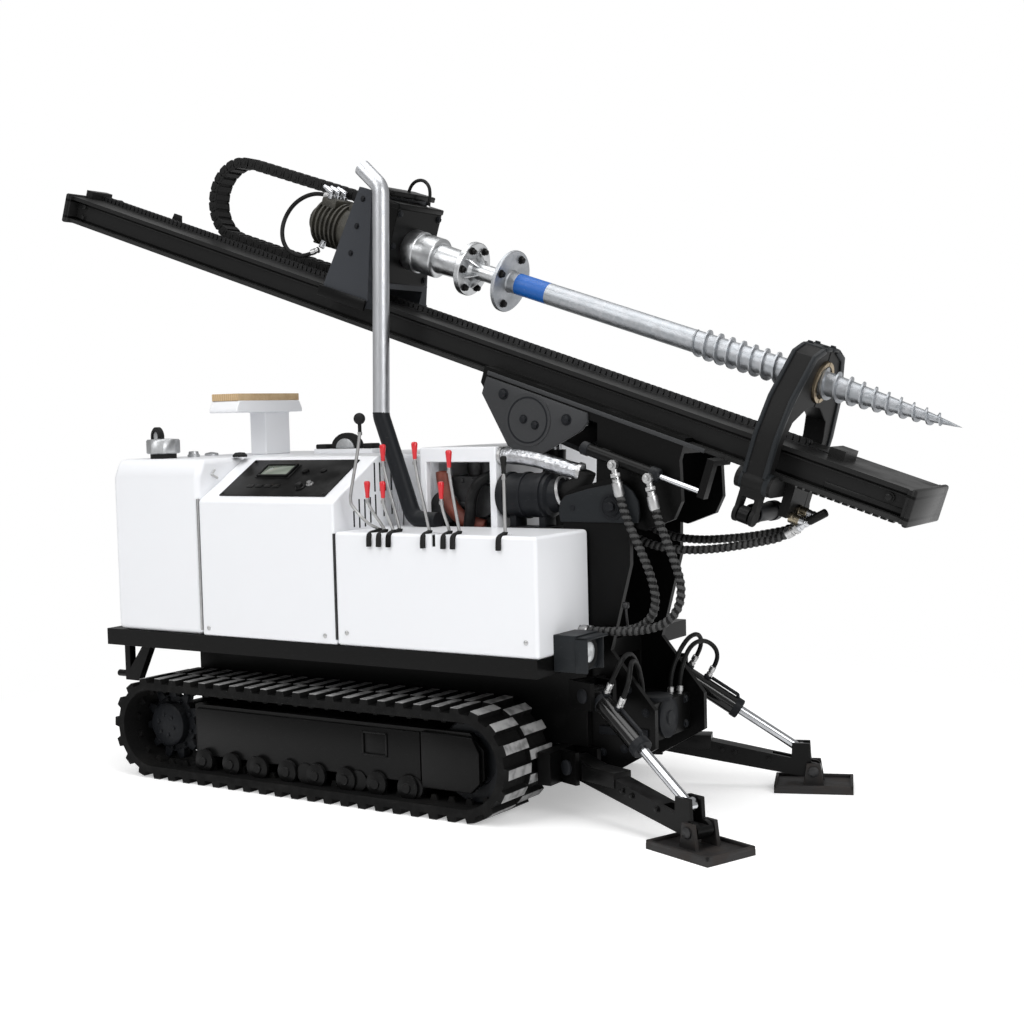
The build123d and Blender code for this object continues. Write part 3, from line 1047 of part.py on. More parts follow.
# Hoses of the leg cylinders, over the post plates to the top of the housing
with BuildPart() as leg_hoses_near:
    cord_tube([leg_port(LEG_PORTS[0], LEG_PORT_RISE), leg_port(LEG_PORTS[0], LEG_PORT_RISE + 50), (912, -335, 582),
               (916, -290, 612), (908, -232, 606), (898, -178, 566), (889, -138, 512), (885, -112, 456),
               (885, -112, NOSE_HIGH)], LEG_HOSE)
    cord_tube([leg_port(LEG_PORTS[1], LEG_PORT_RISE), leg_port(LEG_PORTS[1], LEG_PORT_RISE + 50), (966, -362, 536),
               (952, -326, 574), (934, -278, 588), (922, -226, 576), (914, -186, 540), (906, -148, 462),
               (906, -148, NOSE_HIGH)], LEG_HOSE)
finish(leg_hoses_near, "leg_hoses_near")

with BuildPart() as leg_hoses_far:
    mirror(leg_hoses_near.part, about=Plane.XZ)
finish(leg_hoses_far, "leg_hoses_far")

# Hoses on the rotary head, in the mast's own line
REAR_LOOP = ((-744, -30, 396), (-800, -42, 374), (-842, -60, 330), (-862, -76, 272), (-858, -90, 212),
             (-828, -98, 158), (-776, -98, 126), (-703.6, -84.2, 129.5))
TOP_LOOP = ((-376, 70, 514), (-356, 70, 548), (-318, 70, 562), (-282, 70, 546), (-266, 70, 512), (-262, 70, 476))
with BuildPart() as head_hoses:
    cord_tube([mast_point(*point) for point in (MOTOR_PORT_HIGH, *REAR_LOOP, MOTOR_PORT_LOW)], HEAD_HOSE)
    cord_tube([mast_point(*point) for point in ((-376, 70, HEAD_TOP - 10), *TOP_LOOP, (-262, 70, HEAD_TOP - 40))],
              TOP_HOSE)
finish(head_hoses, "head_hoses")
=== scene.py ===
# %% [markdown]
# A compact pile driver rig: a tracked machine with white cabinets, a sloping black mast, a rotary head that
# drives a steel ground screw, a clamping guide at the mast foot and two stabiliser legs. The solids of the
# machine come in ready made and in place. This lesson dresses them: it rounds their edges, adds the small
# hardware that a builder would bolt on, runs the hoses, and mixes every finish from nodes.

# %% Load the solids
import json
from math import cos, pi, radians, sin

import bmesh
import bpy
from mathutils import Matrix, Vector


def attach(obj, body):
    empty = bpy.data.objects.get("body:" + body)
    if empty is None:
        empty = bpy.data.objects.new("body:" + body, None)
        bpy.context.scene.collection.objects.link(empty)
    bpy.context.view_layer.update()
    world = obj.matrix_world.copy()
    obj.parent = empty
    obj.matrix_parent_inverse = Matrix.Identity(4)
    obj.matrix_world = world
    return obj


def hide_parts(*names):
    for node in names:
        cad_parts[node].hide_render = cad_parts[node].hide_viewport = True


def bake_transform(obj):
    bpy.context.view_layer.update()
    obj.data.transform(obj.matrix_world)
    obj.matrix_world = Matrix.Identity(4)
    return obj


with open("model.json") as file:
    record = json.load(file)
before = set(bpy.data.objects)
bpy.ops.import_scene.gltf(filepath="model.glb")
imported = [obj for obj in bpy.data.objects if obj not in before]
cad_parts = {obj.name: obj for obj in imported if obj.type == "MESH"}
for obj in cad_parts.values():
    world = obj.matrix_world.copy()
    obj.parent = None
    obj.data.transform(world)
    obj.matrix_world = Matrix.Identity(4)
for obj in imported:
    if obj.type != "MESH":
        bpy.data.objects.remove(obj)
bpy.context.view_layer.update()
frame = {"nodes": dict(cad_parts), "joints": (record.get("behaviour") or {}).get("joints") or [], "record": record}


def show(thing):
    bpy.context.scene.collection.objects.link(thing)


# %% [markdown]
# Sizes on a machine drawing are millimetres, while the scene is in metres. Each part of the rig also has
# its own natural directions: along the mast, or out along a leg. A space is a matrix that takes millimetres
# in such directions to the scene, so that a bolt on the mast can be placed by its distance along the mast.

# %% Spaces of the machine
MM = 0.001


def space(origin, x, y, z):
    turn = Matrix((x, y, z)).transposed().to_4x4()
    return Matrix.Translation(Vector(origin) * MM) @ turn @ Matrix.Scale(MM, 4)


MAST_DIR = Vector(next(j["axis"] for j in frame["joints"] if j["name"] == "mast_slide")).normalized()
SIDE = Vector((0, 1, 0))
MAST_UP = MAST_DIR.cross(SIDE)
MAST_CENTRE = Vector((-54.2, 0, 1806))
LEG_COS = 0.9358
LEG_SIN = 0.3525
MACHINE = space((0, 0, 0), (1, 0, 0), (0, 1, 0), (0, 0, 1))
MAST = space(MAST_CENTRE, MAST_DIR, SIDE, MAST_UP)
LEGS = {
    "near": space((710, -282, 0), (LEG_COS, -LEG_SIN, 0), (LEG_SIN, LEG_COS, 0), (0, 0, 1)),
    "far": space((710, 282, 0), (LEG_COS, LEG_SIN, 0), (LEG_SIN, -LEG_COS, 0), (0, 0, 1)),
}
print("mast direction", [round(v, 4) for v in MAST_DIR])

# %% [markdown]
# The camera stands where the photographer stood: a little above the deck, near the foot of the mast,
# looking back along the machine. Its place and turn were found by matching known corners of the solids with
# the picture.

# %% Camera
CAMERA_PLACE = Vector((3.5936, -5.1729, 1.4822))
AZIMUTH = radians(32.80)
ELEVATION = radians(3.60)
ROLL = radians(-1.44)
look = Vector((-sin(AZIMUTH) * cos(ELEVATION), cos(AZIMUTH) * cos(ELEVATION), -sin(ELEVATION)))
level = Vector((cos(AZIMUTH), sin(AZIMUTH), 0))
upright = level.cross(look)
right = cos(ROLL) * level + sin(ROLL) * upright
top = -sin(ROLL) * level + cos(ROLL) * upright
camera = bpy.data.objects.new("camera", bpy.data.cameras.new("camera"))
show(camera)
camera.matrix_world = Matrix.Translation(CAMERA_PLACE) @ Matrix((right, top, -look)).transposed().to_4x4()
camera.data.sensor_width = 36
camera.data.lens = 55.05
bpy.context.scene.camera = camera
print("camera at", tuple(CAMERA_PLACE))

# %% [markdown]
# Finishes are written as sums. A Val is one value in a material's node tree, and adding or multiplying Vals
# adds the Math nodes, so that a mask reads like a formula. A Finish is one material with a few common
# steps: noise, colour mixing and bump. All patterns use the piece's own coordinates, so they stay put when
# the machine moves.

# %% Shader values and finishes
class Val:
    def __init__(self, finish, socket):
        self.finish = finish
        self.socket = socket

    def math(self, operation, first, second):
        return self.finish.node("ShaderNodeMath", {"operation": operation}, {0: first, 1: second})

    def __add__(self, other):
        return self.math("ADD", self, other)

    def __radd__(self, other):
        return self.math("ADD", other, self)

    def __sub__(self, other):
        return self.math("SUBTRACT", self, other)

    def __rsub__(self, other):
        return self.math("SUBTRACT", other, self)

    def __mul__(self, other):
        return self.math("MULTIPLY", self, other)

    def __rmul__(self, other):
        return self.math("MULTIPLY", other, self)

    def __gt__(self, other):
        return self.math("GREATER_THAN", self, other)

    def __lt__(self, other):
        return self.math("LESS_THAN", self, other)


class Finish:
    def __init__(self, name, colour, rough, metal=0.0, coat=0.0):
        self.material = bpy.data.materials.new(name)
        self.material.use_nodes = True
        self.tree = self.material.node_tree
        self.shader = self.tree.nodes["Principled BSDF"]
        self.set("Base Color", colour)
        self.set("Roughness", rough)
        self.set("Metallic", metal)
        self.set("Coat Weight", coat)
        self.place = self.node("ShaderNodeTexCoord", {}, {}, "Object")
        self.facing = self.node("ShaderNodeTexCoord", {}, {}, "Normal")

    def node(self, kind, settings, inputs, output=0):
        node = self.tree.nodes.new(kind)
        for name, value in settings.items():
            setattr(node, name, value)
        for key, value in inputs.items():
            self.feed(node.inputs[key], value)
        return Val(self, node.outputs[output])

    def feed(self, socket, value):
        if isinstance(value, Val):
            self.tree.links.new(value.socket, socket)
        else:
            socket.default_value = value

    def set(self, name, value):
        self.feed(self.shader.inputs[name], value)

    def noise(self, scale, detail=3.0, stretch=None):
        place = self.place
        if stretch:
            place = self.node("ShaderNodeVectorMath", {"operation": "MULTIPLY"}, {0: place, 1: stretch})
        return self.node("ShaderNodeTexNoise", {}, {"Vector": place, "Scale": scale, "Detail": detail})

    def band(self, value, low, high):
        inputs = {"Value": value, "From Min": low, "From Max": high}
        return self.node("ShaderNodeMapRange", {"interpolation_type": "SMOOTHSTEP"}, inputs)

    def mix(self, amount, first, second):
        return self.node("ShaderNodeMix", {"data_type": "RGBA"}, {0: amount, 6: first, 7: second}, 2)

    def bump(self, height, strength, distance=0.001):
        inputs = {"Height": height, "Strength": strength, "Distance": distance}
        self.set("Normal", self.node("ShaderNodeBump", {}, inputs))

    def axis(self, vector, name):
        return self.node("ShaderNodeSeparateXYZ", {}, {0: vector}, name)

    def along(self, direction, origin):
        place = self.node("ShaderNodeVectorMath", {"operation": "SUBTRACT"}, {0: self.place, 1: origin})
        return self.node("ShaderNodeVectorMath", {"operation": "DOT_PRODUCT"}, {0: place, 1: direction},
                         "Value")


def grey(value):
    return (value, value, value, 1)


# %% [markdown]
# White cabinets on such a machine are sheet steel under a smooth enamel. Real enamel is never one flat
# white: it has a fine orange-peel surface, and dust gathers on it as a faint grey veil in broad patches and
# fine specks. Black enamel is the same paint over heavier steel, duller, with pale dust lying on whatever
# faces up.

# %% Paints
def enamel(name, colour, grime, rough, coat, veil):
    paint = Finish(name, colour, rough, coat=coat)
    patches = paint.band(paint.noise(1.1, 2.0), 0.40, 0.80)
    specks = paint.band(paint.noise(38.0, 2.0), 0.60, 0.75)
    paint.set("Base Color", paint.mix(patches * veil + specks * (veil * 0.5), colour, grime))
    paint.set("Roughness", rough + 0.06 * patches)
    paint.bump(paint.noise(260.0, 1.0), 0.05)
    return paint


BLACK_SHINE = 0.12


def dusty_black(name, colour, rough, dust=0.10, dust_colour=grey(0.16), fine=220.0, zones=None):
    paint = Finish(name, colour, rough)
    base = zones(paint, colour) if zones else colour
    up = paint.band(paint.axis(paint.facing, "Z"), 0.35, 0.95)
    cloud = paint.band(paint.noise(7.0, 6.0), 0.36, 0.72)
    rubbed = paint.band(paint.noise(70.0, 3.0, (1.0, 1.0, 3.0)), 0.60, 0.80)
    paint.set("Specular IOR Level", BLACK_SHINE)
    paint.set("Base Color", paint.mix(up * cloud * (dust * 3.0) + rubbed * dust, base, dust_colour))
    paint.set("Roughness", rough + 0.22 * cloud * up + 0.10 * rubbed)
    paint.bump(paint.noise(fine, 2.0), 0.07)
    return paint


# Bands across the mast's height. The lighter band along the lower flange's edge is a painted highlight. The dark
# groove bands next to both flanges are painted shade. Everything below the lower flange is painted near black as
# shade under the beam.
def mast_painted_light_bands(paint, colour):
    h = paint.along(tuple(MAST_UP), tuple(MAST_CENTRE * MM))
    painted_highlight_band = (h > -0.0600) * (h < -0.0430)
    groove = (h > -0.0430) * (h < -0.0330) + (h > 0.0330) * (h < 0.0425)
    base = paint.mix(painted_highlight_band, colour, grey(0.024))
    base = paint.mix(groove, base, grey(0.002))
    return paint.mix(h < -0.0600, base, grey(0.003))


WHITE = enamel("white_enamel", (0.80, 0.81, 0.835, 1), (0.66, 0.66, 0.66, 1), 0.34, 0.12, 0.04)
BLACK = dusty_black("black_enamel", grey(0.0040), 0.30, 0.05)
# A darker copy of the black enamel: painted shade on the mast post, the cradle frame, the gearbox and the boxes in
# the frame windows.
SHADED_BLACK = dusty_black("black_painted_shade", grey(0.0022), 0.36, 0.03)
MAST_BLACK = dusty_black("mast_black", grey(0.015), 0.28, 0.012, zones=mast_painted_light_bands)
# A lighter copy of the black enamel on the cradle plates: a painted sheen.
CRADLE_SHEEN_BLACK = dusty_black("cradle_black_painted_sheen", (0.040, 0.041, 0.043, 1), 0.40, 0.06)
# A lighter grey copy of the black enamel: painted light on the ear plates, the lamp box and hood, and the jaw
# rims.
LIT_BLACK = dusty_black("black_painted_light", (0.016, 0.018, 0.020, 1), 0.40, 0.06)
GLOSS = dusty_black("gloss_black", grey(0.005), 0.14, 0.03)
GLOSS.set("Specular IOR Level", 0.45)
SATIN = dusty_black("satin_black", (0.011, 0.012, 0.014, 1), 0.42, 0.09)
CAST_BLACK = dusty_black("cast_black", grey(0.008), 0.46, 0.06, grey(0.12), 90.0)
PLASTIC = dusty_black("black_plastic", grey(0.013), 0.55, 0.06, grey(0.10), 400.0)
LEDGE = dusty_black("blue_black_plate", (0.042, 0.045, 0.051, 1), 0.36, 0.08)
print("paints mixed")

# %% [markdown]
# Bare metals differ mostly in how rough they are and in what lies on them. Hot dip zinc freezes into flat
# crystals, the spangle, which a Voronoi texture draws well. Chromed rods are almost a mirror. The exhaust
# is brushed along its length. The blue ring near the screw's flange is paint: a band of the screw's own
# length.

# %% Metals
SCREW_H = 287.0
BLUE_FROM = 0.298
BLUE_TO = 0.441
BLUE_PAINT = (0.001, 0.088, 0.36, 1)


def plain_metal(name, colour, rough, stain=0.25, grain=60.0, stretch=None):
    metal = Finish(name, colour, rough, metal=1.0)
    patch = metal.band(metal.noise(grain, 4.0, stretch), 0.40, 0.70)
    dark = tuple(channel * 0.62 for channel in colour[:3]) + (1,)
    metal.set("Base Color", metal.mix(patch * stain, colour, dark))
    metal.set("Roughness", rough + 0.16 * patch)
    return metal


def galvanised(name):
    zinc = Finish(name, grey(0.36), 0.46, metal=0.85)
    cells = zinc.node("ShaderNodeTexVoronoi", {}, {"Vector": zinc.place, "Scale": 75.0}, "Color")
    tone = zinc.axis(cells, "X")
    worn = zinc.band(zinc.noise(14.0, 5.0), 0.45, 0.70)
    base = zinc.mix(tone, (0.34, 0.36, 0.38, 1), (0.44, 0.45, 0.47, 1))
    base = zinc.mix(worn * 0.3, base, (0.28, 0.29, 0.30, 1))
    rough = 0.40 + 0.10 * tone + 0.08 * worn
    zinc.bump(zinc.noise(120.0, 2.0), 0.10)
    s = zinc.along(tuple(MAST_DIR), tuple(MAST_CENTRE * MM))
    scuff = zinc.band(zinc.noise(55.0, 4.0), 0.72, 0.80)
    band = (s > BLUE_FROM) * (s < BLUE_TO) * (1 - 0.6 * scuff)
    base = zinc.mix(band, base, BLUE_PAINT)
    zinc.set("Metallic", 0.85 - 0.85 * band)
    zinc.set("Base Color", base)
    zinc.set("Roughness", rough)
    return zinc


ZINC = galvanised("hot_dip_zinc")
MACHINED = plain_metal("machined_steel", (0.56, 0.57, 0.58, 1), 0.30, 0.22, 24.0)
CHROME = plain_metal("hard_chrome", (0.52, 0.53, 0.55, 1), 0.16, 0.12, 20.0)
BRIGHT = plain_metal("bright_ferrule", (0.50, 0.50, 0.50, 1), 0.34, 0.15, 90.0)
PIPE = plain_metal("satin_pipe", (0.52, 0.53, 0.55, 1), 0.36, 0.18, 40.0, (6.0, 6.0, 0.5))
STEEL = plain_metal("lever_steel", (0.42, 0.42, 0.42, 1), 0.36, 0.30, 50.0)
DARK_STEEL = plain_metal("dark_steel", (0.055, 0.055, 0.056, 1), 0.45, 0.40, 40.0)
BRONZE = plain_metal("guide_bush_metal", (0.44, 0.36, 0.25, 1), 0.38, 0.35, 45.0)
BRASS = plain_metal("brass_fitting", (0.30, 0.26, 0.19, 1), 0.34, 0.35, 60.0)
print("metals mixed")

# %% [markdown]
# The rest of the finishes: track rubber whose pale lug tops are a painted highlight, hose rubber, red grips,
# the wooden rest board, the olive motor casting, dark engine iron, weathered pads, the display and the lamp
# glass. The lug tops that carry the painted highlight are found by their distance from the line between the
# two wheel centres, because every lug stands equally far from it.

# %% Rubber, wood, castings and glass
WHEEL = Vector((-1181, 0, 212))
IDLER = Vector((381, 0, 212))


def track_rubber():
    rubber = Finish("track_rubber", grey(0.006), 0.70)
    x = rubber.axis(rubber.place, "X")
    z = rubber.axis(rubber.place, "Z") - WHEEL.z * MM
    ends = {"Value": x, "Min": WHEEL.x * MM, "Max": IDLER.x * MM}
    dx = x - rubber.node("ShaderNodeClamp", {}, ends)
    reach = rubber.node("ShaderNodeMath", {"operation": "SQRT"}, {0: dx * dx + z * z})
    # The lug tops are painted pale grey as a highlight, broken up by the scuff noise.
    lug_top_highlight = rubber.band(reach, 0.2085, 0.2115)
    scuff = rubber.band(rubber.noise(26.0, 5.0), 0.30, 0.62)
    mud = rubber.band(rubber.noise(5.0, 6.0), 0.48, 0.75)
    base = rubber.mix(mud * 0.20, grey(0.005), (0.030, 0.028, 0.026, 1))
    rubber.set("Specular IOR Level", BLACK_SHINE)
    rubber.set("Base Color", rubber.mix(lug_top_highlight * (0.45 + 0.55 * scuff), base, grey(0.36)))
    rubber.set("Roughness", 0.60 + 0.20 * scuff)
    rubber.bump(rubber.noise(150.0, 3.0), 0.16)
    return rubber


def wood_board():
    wood = Finish("board_wood", (0.52, 0.36, 0.19, 1), 0.60)
    inputs = {"Vector": wood.place, "Scale": 26.0, "Distortion": 3.0, "Detail": 3.0}
    rings = wood.node("ShaderNodeTexWave", {"bands_direction": "X"}, inputs, "Fac")
    fibre = wood.noise(9.0, 6.0, (30.0, 1.0, 30.0))
    wood.set("Base Color", wood.mix(rings * 0.5 + fibre * 0.3, (0.62, 0.46, 0.27, 1), (0.36, 0.22, 0.10, 1)))
    wood.set("Roughness", 0.50 + 0.20 * fibre)
    wood.bump(rings * 0.5 + fibre, 0.20)
    return wood


def casting(name, colour, spots, rough, amount=0.6):
    iron = Finish(name, colour, rough, metal=0.15)
    blots = iron.band(iron.noise(17.0, 6.0), 0.42, 0.66)
    iron.set("Base Color", iron.mix(blots * amount, colour, spots))
    iron.set("Roughness", rough + 0.15 * blots)
    iron.bump(iron.noise(140.0, 4.0), 0.25)
    return iron


def rubber_hose(name, colour):
    hose = Finish(name, colour, 0.48)
    hose.set("Specular IOR Level", BLACK_SHINE)
    weave = hose.noise(240.0, 2.0)
    dust = hose.band(hose.noise(12.0, 4.0), 0.48, 0.75)
    hose.set("Base Color", hose.mix(dust * 0.25, colour, grey(0.075)))
    hose.set("Roughness", 0.42 + 0.22 * dust)
    hose.bump(weave, 0.10)
    return hose


def clear_cover(name, colour, rough):
    glass = Finish(name, colour, rough, coat=1.0)
    ribs = glass.node("ShaderNodeTexWave", {"bands_direction": "Y"}, {"Vector": glass.place, "Scale": 60.0},
                      "Fac")
    glass.set("Base Color", glass.mix(ribs * 0.25, colour, tuple(v * 0.6 for v in colour[:3]) + (1,)))
    glass.set("Roughness", rough + 0.05 * ribs)
    return glass


RUBBER = track_rubber()
WOOD = wood_board()
MOTOR = casting("motor_olive", (0.042, 0.039, 0.030, 1), (0.016, 0.015, 0.012, 1), 0.46)
ENGINE = casting("engine_iron", (0.030, 0.031, 0.033, 1), (0.010, 0.010, 0.010, 1), 0.55)
DUCT_RED = casting("duct_red_brown", (0.17, 0.036, 0.020, 1), (0.080, 0.022, 0.016, 1), 0.45)
RUSTY = casting("rusty_pad", (0.010, 0.009, 0.009, 1), (0.026, 0.018, 0.014, 1), 0.58, 0.50)
HOSE = rubber_hose("hose_rubber", grey(0.007))
GUARD = rubber_hose("spiral_guard", grey(0.055))
RED = enamel("red_grip", (0.56, 0.006, 0.014, 1), (0.20, 0.010, 0.008, 1), 0.28, 0.4, 0.30)
FOIL = plain_metal("foil_wrap", (0.52, 0.53, 0.55, 1), 0.30, 0.55, 60.0)
FOIL.bump(FOIL.noise(42.0, 4.0), 0.85, 0.006)
DISPLAY = clear_cover("display_glass", (0.20, 0.23, 0.19, 1), 0.16)
LENS = clear_cover("lamp_glass", (0.55, 0.57, 0.58, 1), 0.08)
CAP_GREY = plain_metal("cap_grey", (0.50, 0.51, 0.52, 1), 0.40, 0.30, 60.0)
print("finishes:", len(bpy.data.materials))

# %% [markdown]
# A Work collects simple shapes into one piece. Every shape is made in a small mesh of its own by an
# operator, has its edges rounded there, and is then added. A turned shape is a profile of distance and
# radius, closed to its axis unless it is a ring. The piece is built in the millimetres of its space and
# moved to the scene at the end, so that its object can sit unturned at the origin, and the bench is clear
# for the next piece.

# %% Bench for new pieces
ONCE = (Matrix.Identity(4),)
SHARP = radians(38)


class Work:
    def __init__(self, place=MACHINE):
        self.bm = bmesh.new()
        self.place = place

    def add(self, shape, copies=ONCE):
        mesh = bpy.data.meshes.new("part")
        shape.to_mesh(mesh)
        shape.free()
        for spot in copies:
            part = mesh.copy()
            part.transform(spot)
            self.bm.from_mesh(part)
            bpy.data.meshes.remove(part)
        bpy.data.meshes.remove(mesh)
        return self

    def box(self, low, high, edge=1.5, copies=ONCE):
        low = Vector(low)
        high = Vector(high)
        size = high - low
        shape = bmesh.new()
        place = Matrix.Translation((low + high) / 2) @ Matrix.Diagonal((*size, 1))
        bmesh.ops.create_cube(shape, size=1, matrix=place)
        rounded(shape, edge)
        return self.add(shape, copies)

    def rod(self, start, end, radius, sides=32, edge=0.0, tip=None, copies=ONCE):
        start = Vector(start)
        run = Vector(end) - start
        turn = run.to_track_quat("Z", "Y").to_matrix().to_4x4()
        shape = bmesh.new()
        bmesh.ops.create_cone(shape, cap_ends=True, segments=sides, radius1=radius,
                              radius2=radius if tip is None else tip, depth=run.length,
                              matrix=Matrix.Translation(start + run / 2) @ turn)
        rounded(shape, edge, 50)
        return self.add(shape, copies)

    def turned(self, start, axis, profile, sides=48, copies=ONCE):
        start = Vector(start)
        axis = Vector(axis).normalized()
        out = axis.orthogonal().normalized()
        first = profile[0]
        last = profile[-1]
        if first != last:
            profile = [(first[0], 0)] * (first[1] > 0) + list(profile) + [(last[0], 0)] * (last[1] > 0)
        shape = bmesh.new()
        points = [shape.verts.new(start + axis * along + out * radius) for along, radius in profile]
        edges = [shape.edges.new(pair) for pair in zip(points, points[1:])]
        bmesh.ops.spin(shape, geom=points + edges, cent=start, axis=axis, angle=2 * pi, steps=sides,
                       use_merge=True)
        bmesh.ops.remove_doubles(shape, verts=shape.verts, dist=0.01)
        bmesh.ops.recalc_face_normals(shape, faces=shape.faces)
        return self.add(shape, copies)

    def plate(self, outline, low, high, flat="y", edge=1.5, copies=ONCE):
        shape = bmesh.new()
        orders = {"x": lambda a, b: (low, a, b), "y": lambda a, b: (a, low, b), "z": lambda a, b: (a, b, low)}
        face = shape.faces.new([shape.verts.new(orders[flat](a, b)) for a, b in outline])
        out = bmesh.ops.extrude_face_region(shape, geom=[face])["geom"]
        step = {"x": (1, 0, 0), "y": (0, 1, 0), "z": (0, 0, 1)}[flat]
        moved = [v for v in out if isinstance(v, bmesh.types.BMVert)]
        bmesh.ops.translate(shape, vec=Vector(step) * (high - low), verts=moved)
        bmesh.ops.recalc_face_normals(shape, faces=shape.faces)
        rounded(shape, edge)
        return self.add(shape, copies)

    def bolts(self, spots, axis, radius, head=None, washer=True):
        axis = Vector(axis).normalized()
        head = radius * 0.75 if head is None else head
        copies = [Matrix.Translation(spot) for spot in spots]
        if washer:
            self.rod((0, 0, 0), axis * (head * 0.25), radius * 1.35, 20, 0.0, copies=copies)
        return self.rod((0, 0, 0), axis * head, radius, 6, radius * 0.10, copies=copies)

    def done(self, name, finish, body, stands_for=()):
        self.bm.transform(self.place)
        bmesh.ops.recalc_face_normals(self.bm, faces=self.bm.faces)
        for face in self.bm.faces:
            face.smooth = True
        for edge in self.bm.edges:
            if len(edge.link_faces) == 2:
                edge.smooth = edge.calc_face_angle(0) < SHARP
        mesh = bpy.data.meshes.new(name)
        self.bm.to_mesh(mesh)
        self.bm.free()
        self.bm = bmesh.new()
        mesh.materials.append(finish.material)
        piece = bpy.data.objects.new(name, mesh)
        show(piece)
        if body:
            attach(piece, body)
        if stands_for:
            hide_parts(*stands_for)
        print(name, len(mesh.polygons), "faces")
        return piece


def rounded(shape, width, angle=25, segments=2, shortest=0.0):
    if width <= 0:
        return
    edges = [e for e in shape.edges if len(e.link_faces) == 2 and e.calc_face_angle(0) > radians(angle)]
    edges = [e for e in edges if e.calc_length() >= shortest]
    bmesh.ops.bevel(shape, geom=edges, offset=width, offset_type="OFFSET", affect="EDGES", segments=segments,
                    profile=0.5, material=-1, clamp_overlap=True)


def ring(centre, axis, radius, count, start=0.0):
    axis = Vector(axis).normalized()
    out = axis.orthogonal().normalized() * radius
    return [Vector(centre) + Matrix.Rotation(start + 2 * pi * i / count, 3, axis) @ out for i in range(count)]


def span(side, inner, outer):
    return sorted((side * inner, side * outer))


# %% [markdown]
# Nothing on a real machine has a knife edge. A solid's mesh comes as loose triangles, so a copy is merged,
# its flat faces are joined again, and its sharp edges are bevelled. Weighted normals keep the flat faces
# flat in the light.

# %% Softened copies of the solids
BODY_OF = {node: body for body, nodes in frame["record"]["behaviour"]["bodies"].items() for node in nodes}


def softened(node, finish, width=3.0, segments=2, shortest=0.0, angle=28, front=None):
    shape = bmesh.new()
    shape.from_mesh(frame["nodes"][node].data)
    bmesh.ops.remove_doubles(shape, verts=shape.verts, dist=0.00002)
    if front is not None:
        bmesh.ops.bisect_plane(shape, geom=[*shape.verts, *shape.edges, *shape.faces], dist=0.00001,
                               plane_co=MAST @ Vector((front, 0, 0)), plane_no=MAST_DIR, clear_outer=True)
        bmesh.ops.holes_fill(shape, edges=[edge for edge in shape.edges if edge.is_boundary])
    bmesh.ops.dissolve_limit(shape, angle_limit=radians(0.6), verts=shape.verts, edges=shape.edges)
    rounded(shape, width * MM, angle, segments, shortest * MM)
    work = Work(Matrix.Identity(4))
    work.bm.free()
    work.bm = shape
    piece = work.done(node + "_dressed", finish, BODY_OF[node], (node,))
    piece.modifiers.new("even light", "WEIGHTED_NORMAL").keep_sharp = True
    return piece


def painted(node, finish):
    data = frame["nodes"][node].data
    data.materials.clear()
    data.materials.append(finish.material)


for node, width, shortest in (("hydraulic_tank", 26, 0), ("console_cabinet", 16, 190), ("far_cabinet", 12, 0),
                              ("engine_hood", 5, 0), ("valve_cover", 14, 100), ("mast_rest", 5, 0)):
    softened(node, WHITE, width, 3, shortest)
for node, width in (("main_frame", 3), ("track_frames", 5), ("hub_carriers", 4), ("leg_near", 4),
                    ("leg_far", 4), ("chain_arm", 3)):
    softened(node, BLACK, width)
# The lamp boxes take the lighter grey that is painted light. The post and the cradle frame take the darker black
# that is painted shade.
softened("lamp_boxes", LIT_BLACK, 4)
softened("mast_post", SHADED_BLACK, 4)
softened("cradle_frame", SHADED_BLACK, 4)
softened("mast_beam", MAST_BLACK, 2.5)
for node, finish in (("slide_barrel", BLACK), ("lift_barrel", BLACK), ("lift_rod", CHROME),
                     ("slide_rod", CHROME), ("clamp_barrel", BLACK), ("clamp_rod", CHROME),
                     ("leg_barrel_near", GLOSS), ("leg_barrel_far", GLOSS), ("leg_rod_near", CHROME),
                     ("leg_rod_far", CHROME), ("exhaust_stack", PIPE), ("guide_bracket", CAST_BLACK),
                     ("engine_block", ENGINE)):
    painted(node, finish)
softened("head_carriage", LEDGE, 4, front=-249)
softened("head_gearbox", SHADED_BLACK, 6, front=-241)
softened("rest_board", WOOD, 2)
softened("guide_jaw_near", CAST_BLACK, 5, 3)
softened("guide_jaw_far", CAST_BLACK, 5, 3)
softened("guide_bush_near", BRONZE, 2)
softened("guide_bush_far", BRONZE, 2)
softened("pad_near", RUSTY, 2)
softened("pad_far", RUSTY, 2)
softened("track_near", RUBBER, 3.5)
softened("track_far", RUBBER, 3.5)

# %% [markdown]
# Hoses come next, because their runs decide where fittings go. A hose is a fixed length of something
# springy, so its line is a smooth spline through open air, held by the ferrules at both ends. A hose that
# crosses a joint is made a tube of mesh and left in place, attached to neither body. The thick hoses wear a
# spiral guard: the tube's rings are swollen a little wherever the winding passes, and the grooves between
# show the dark hose.

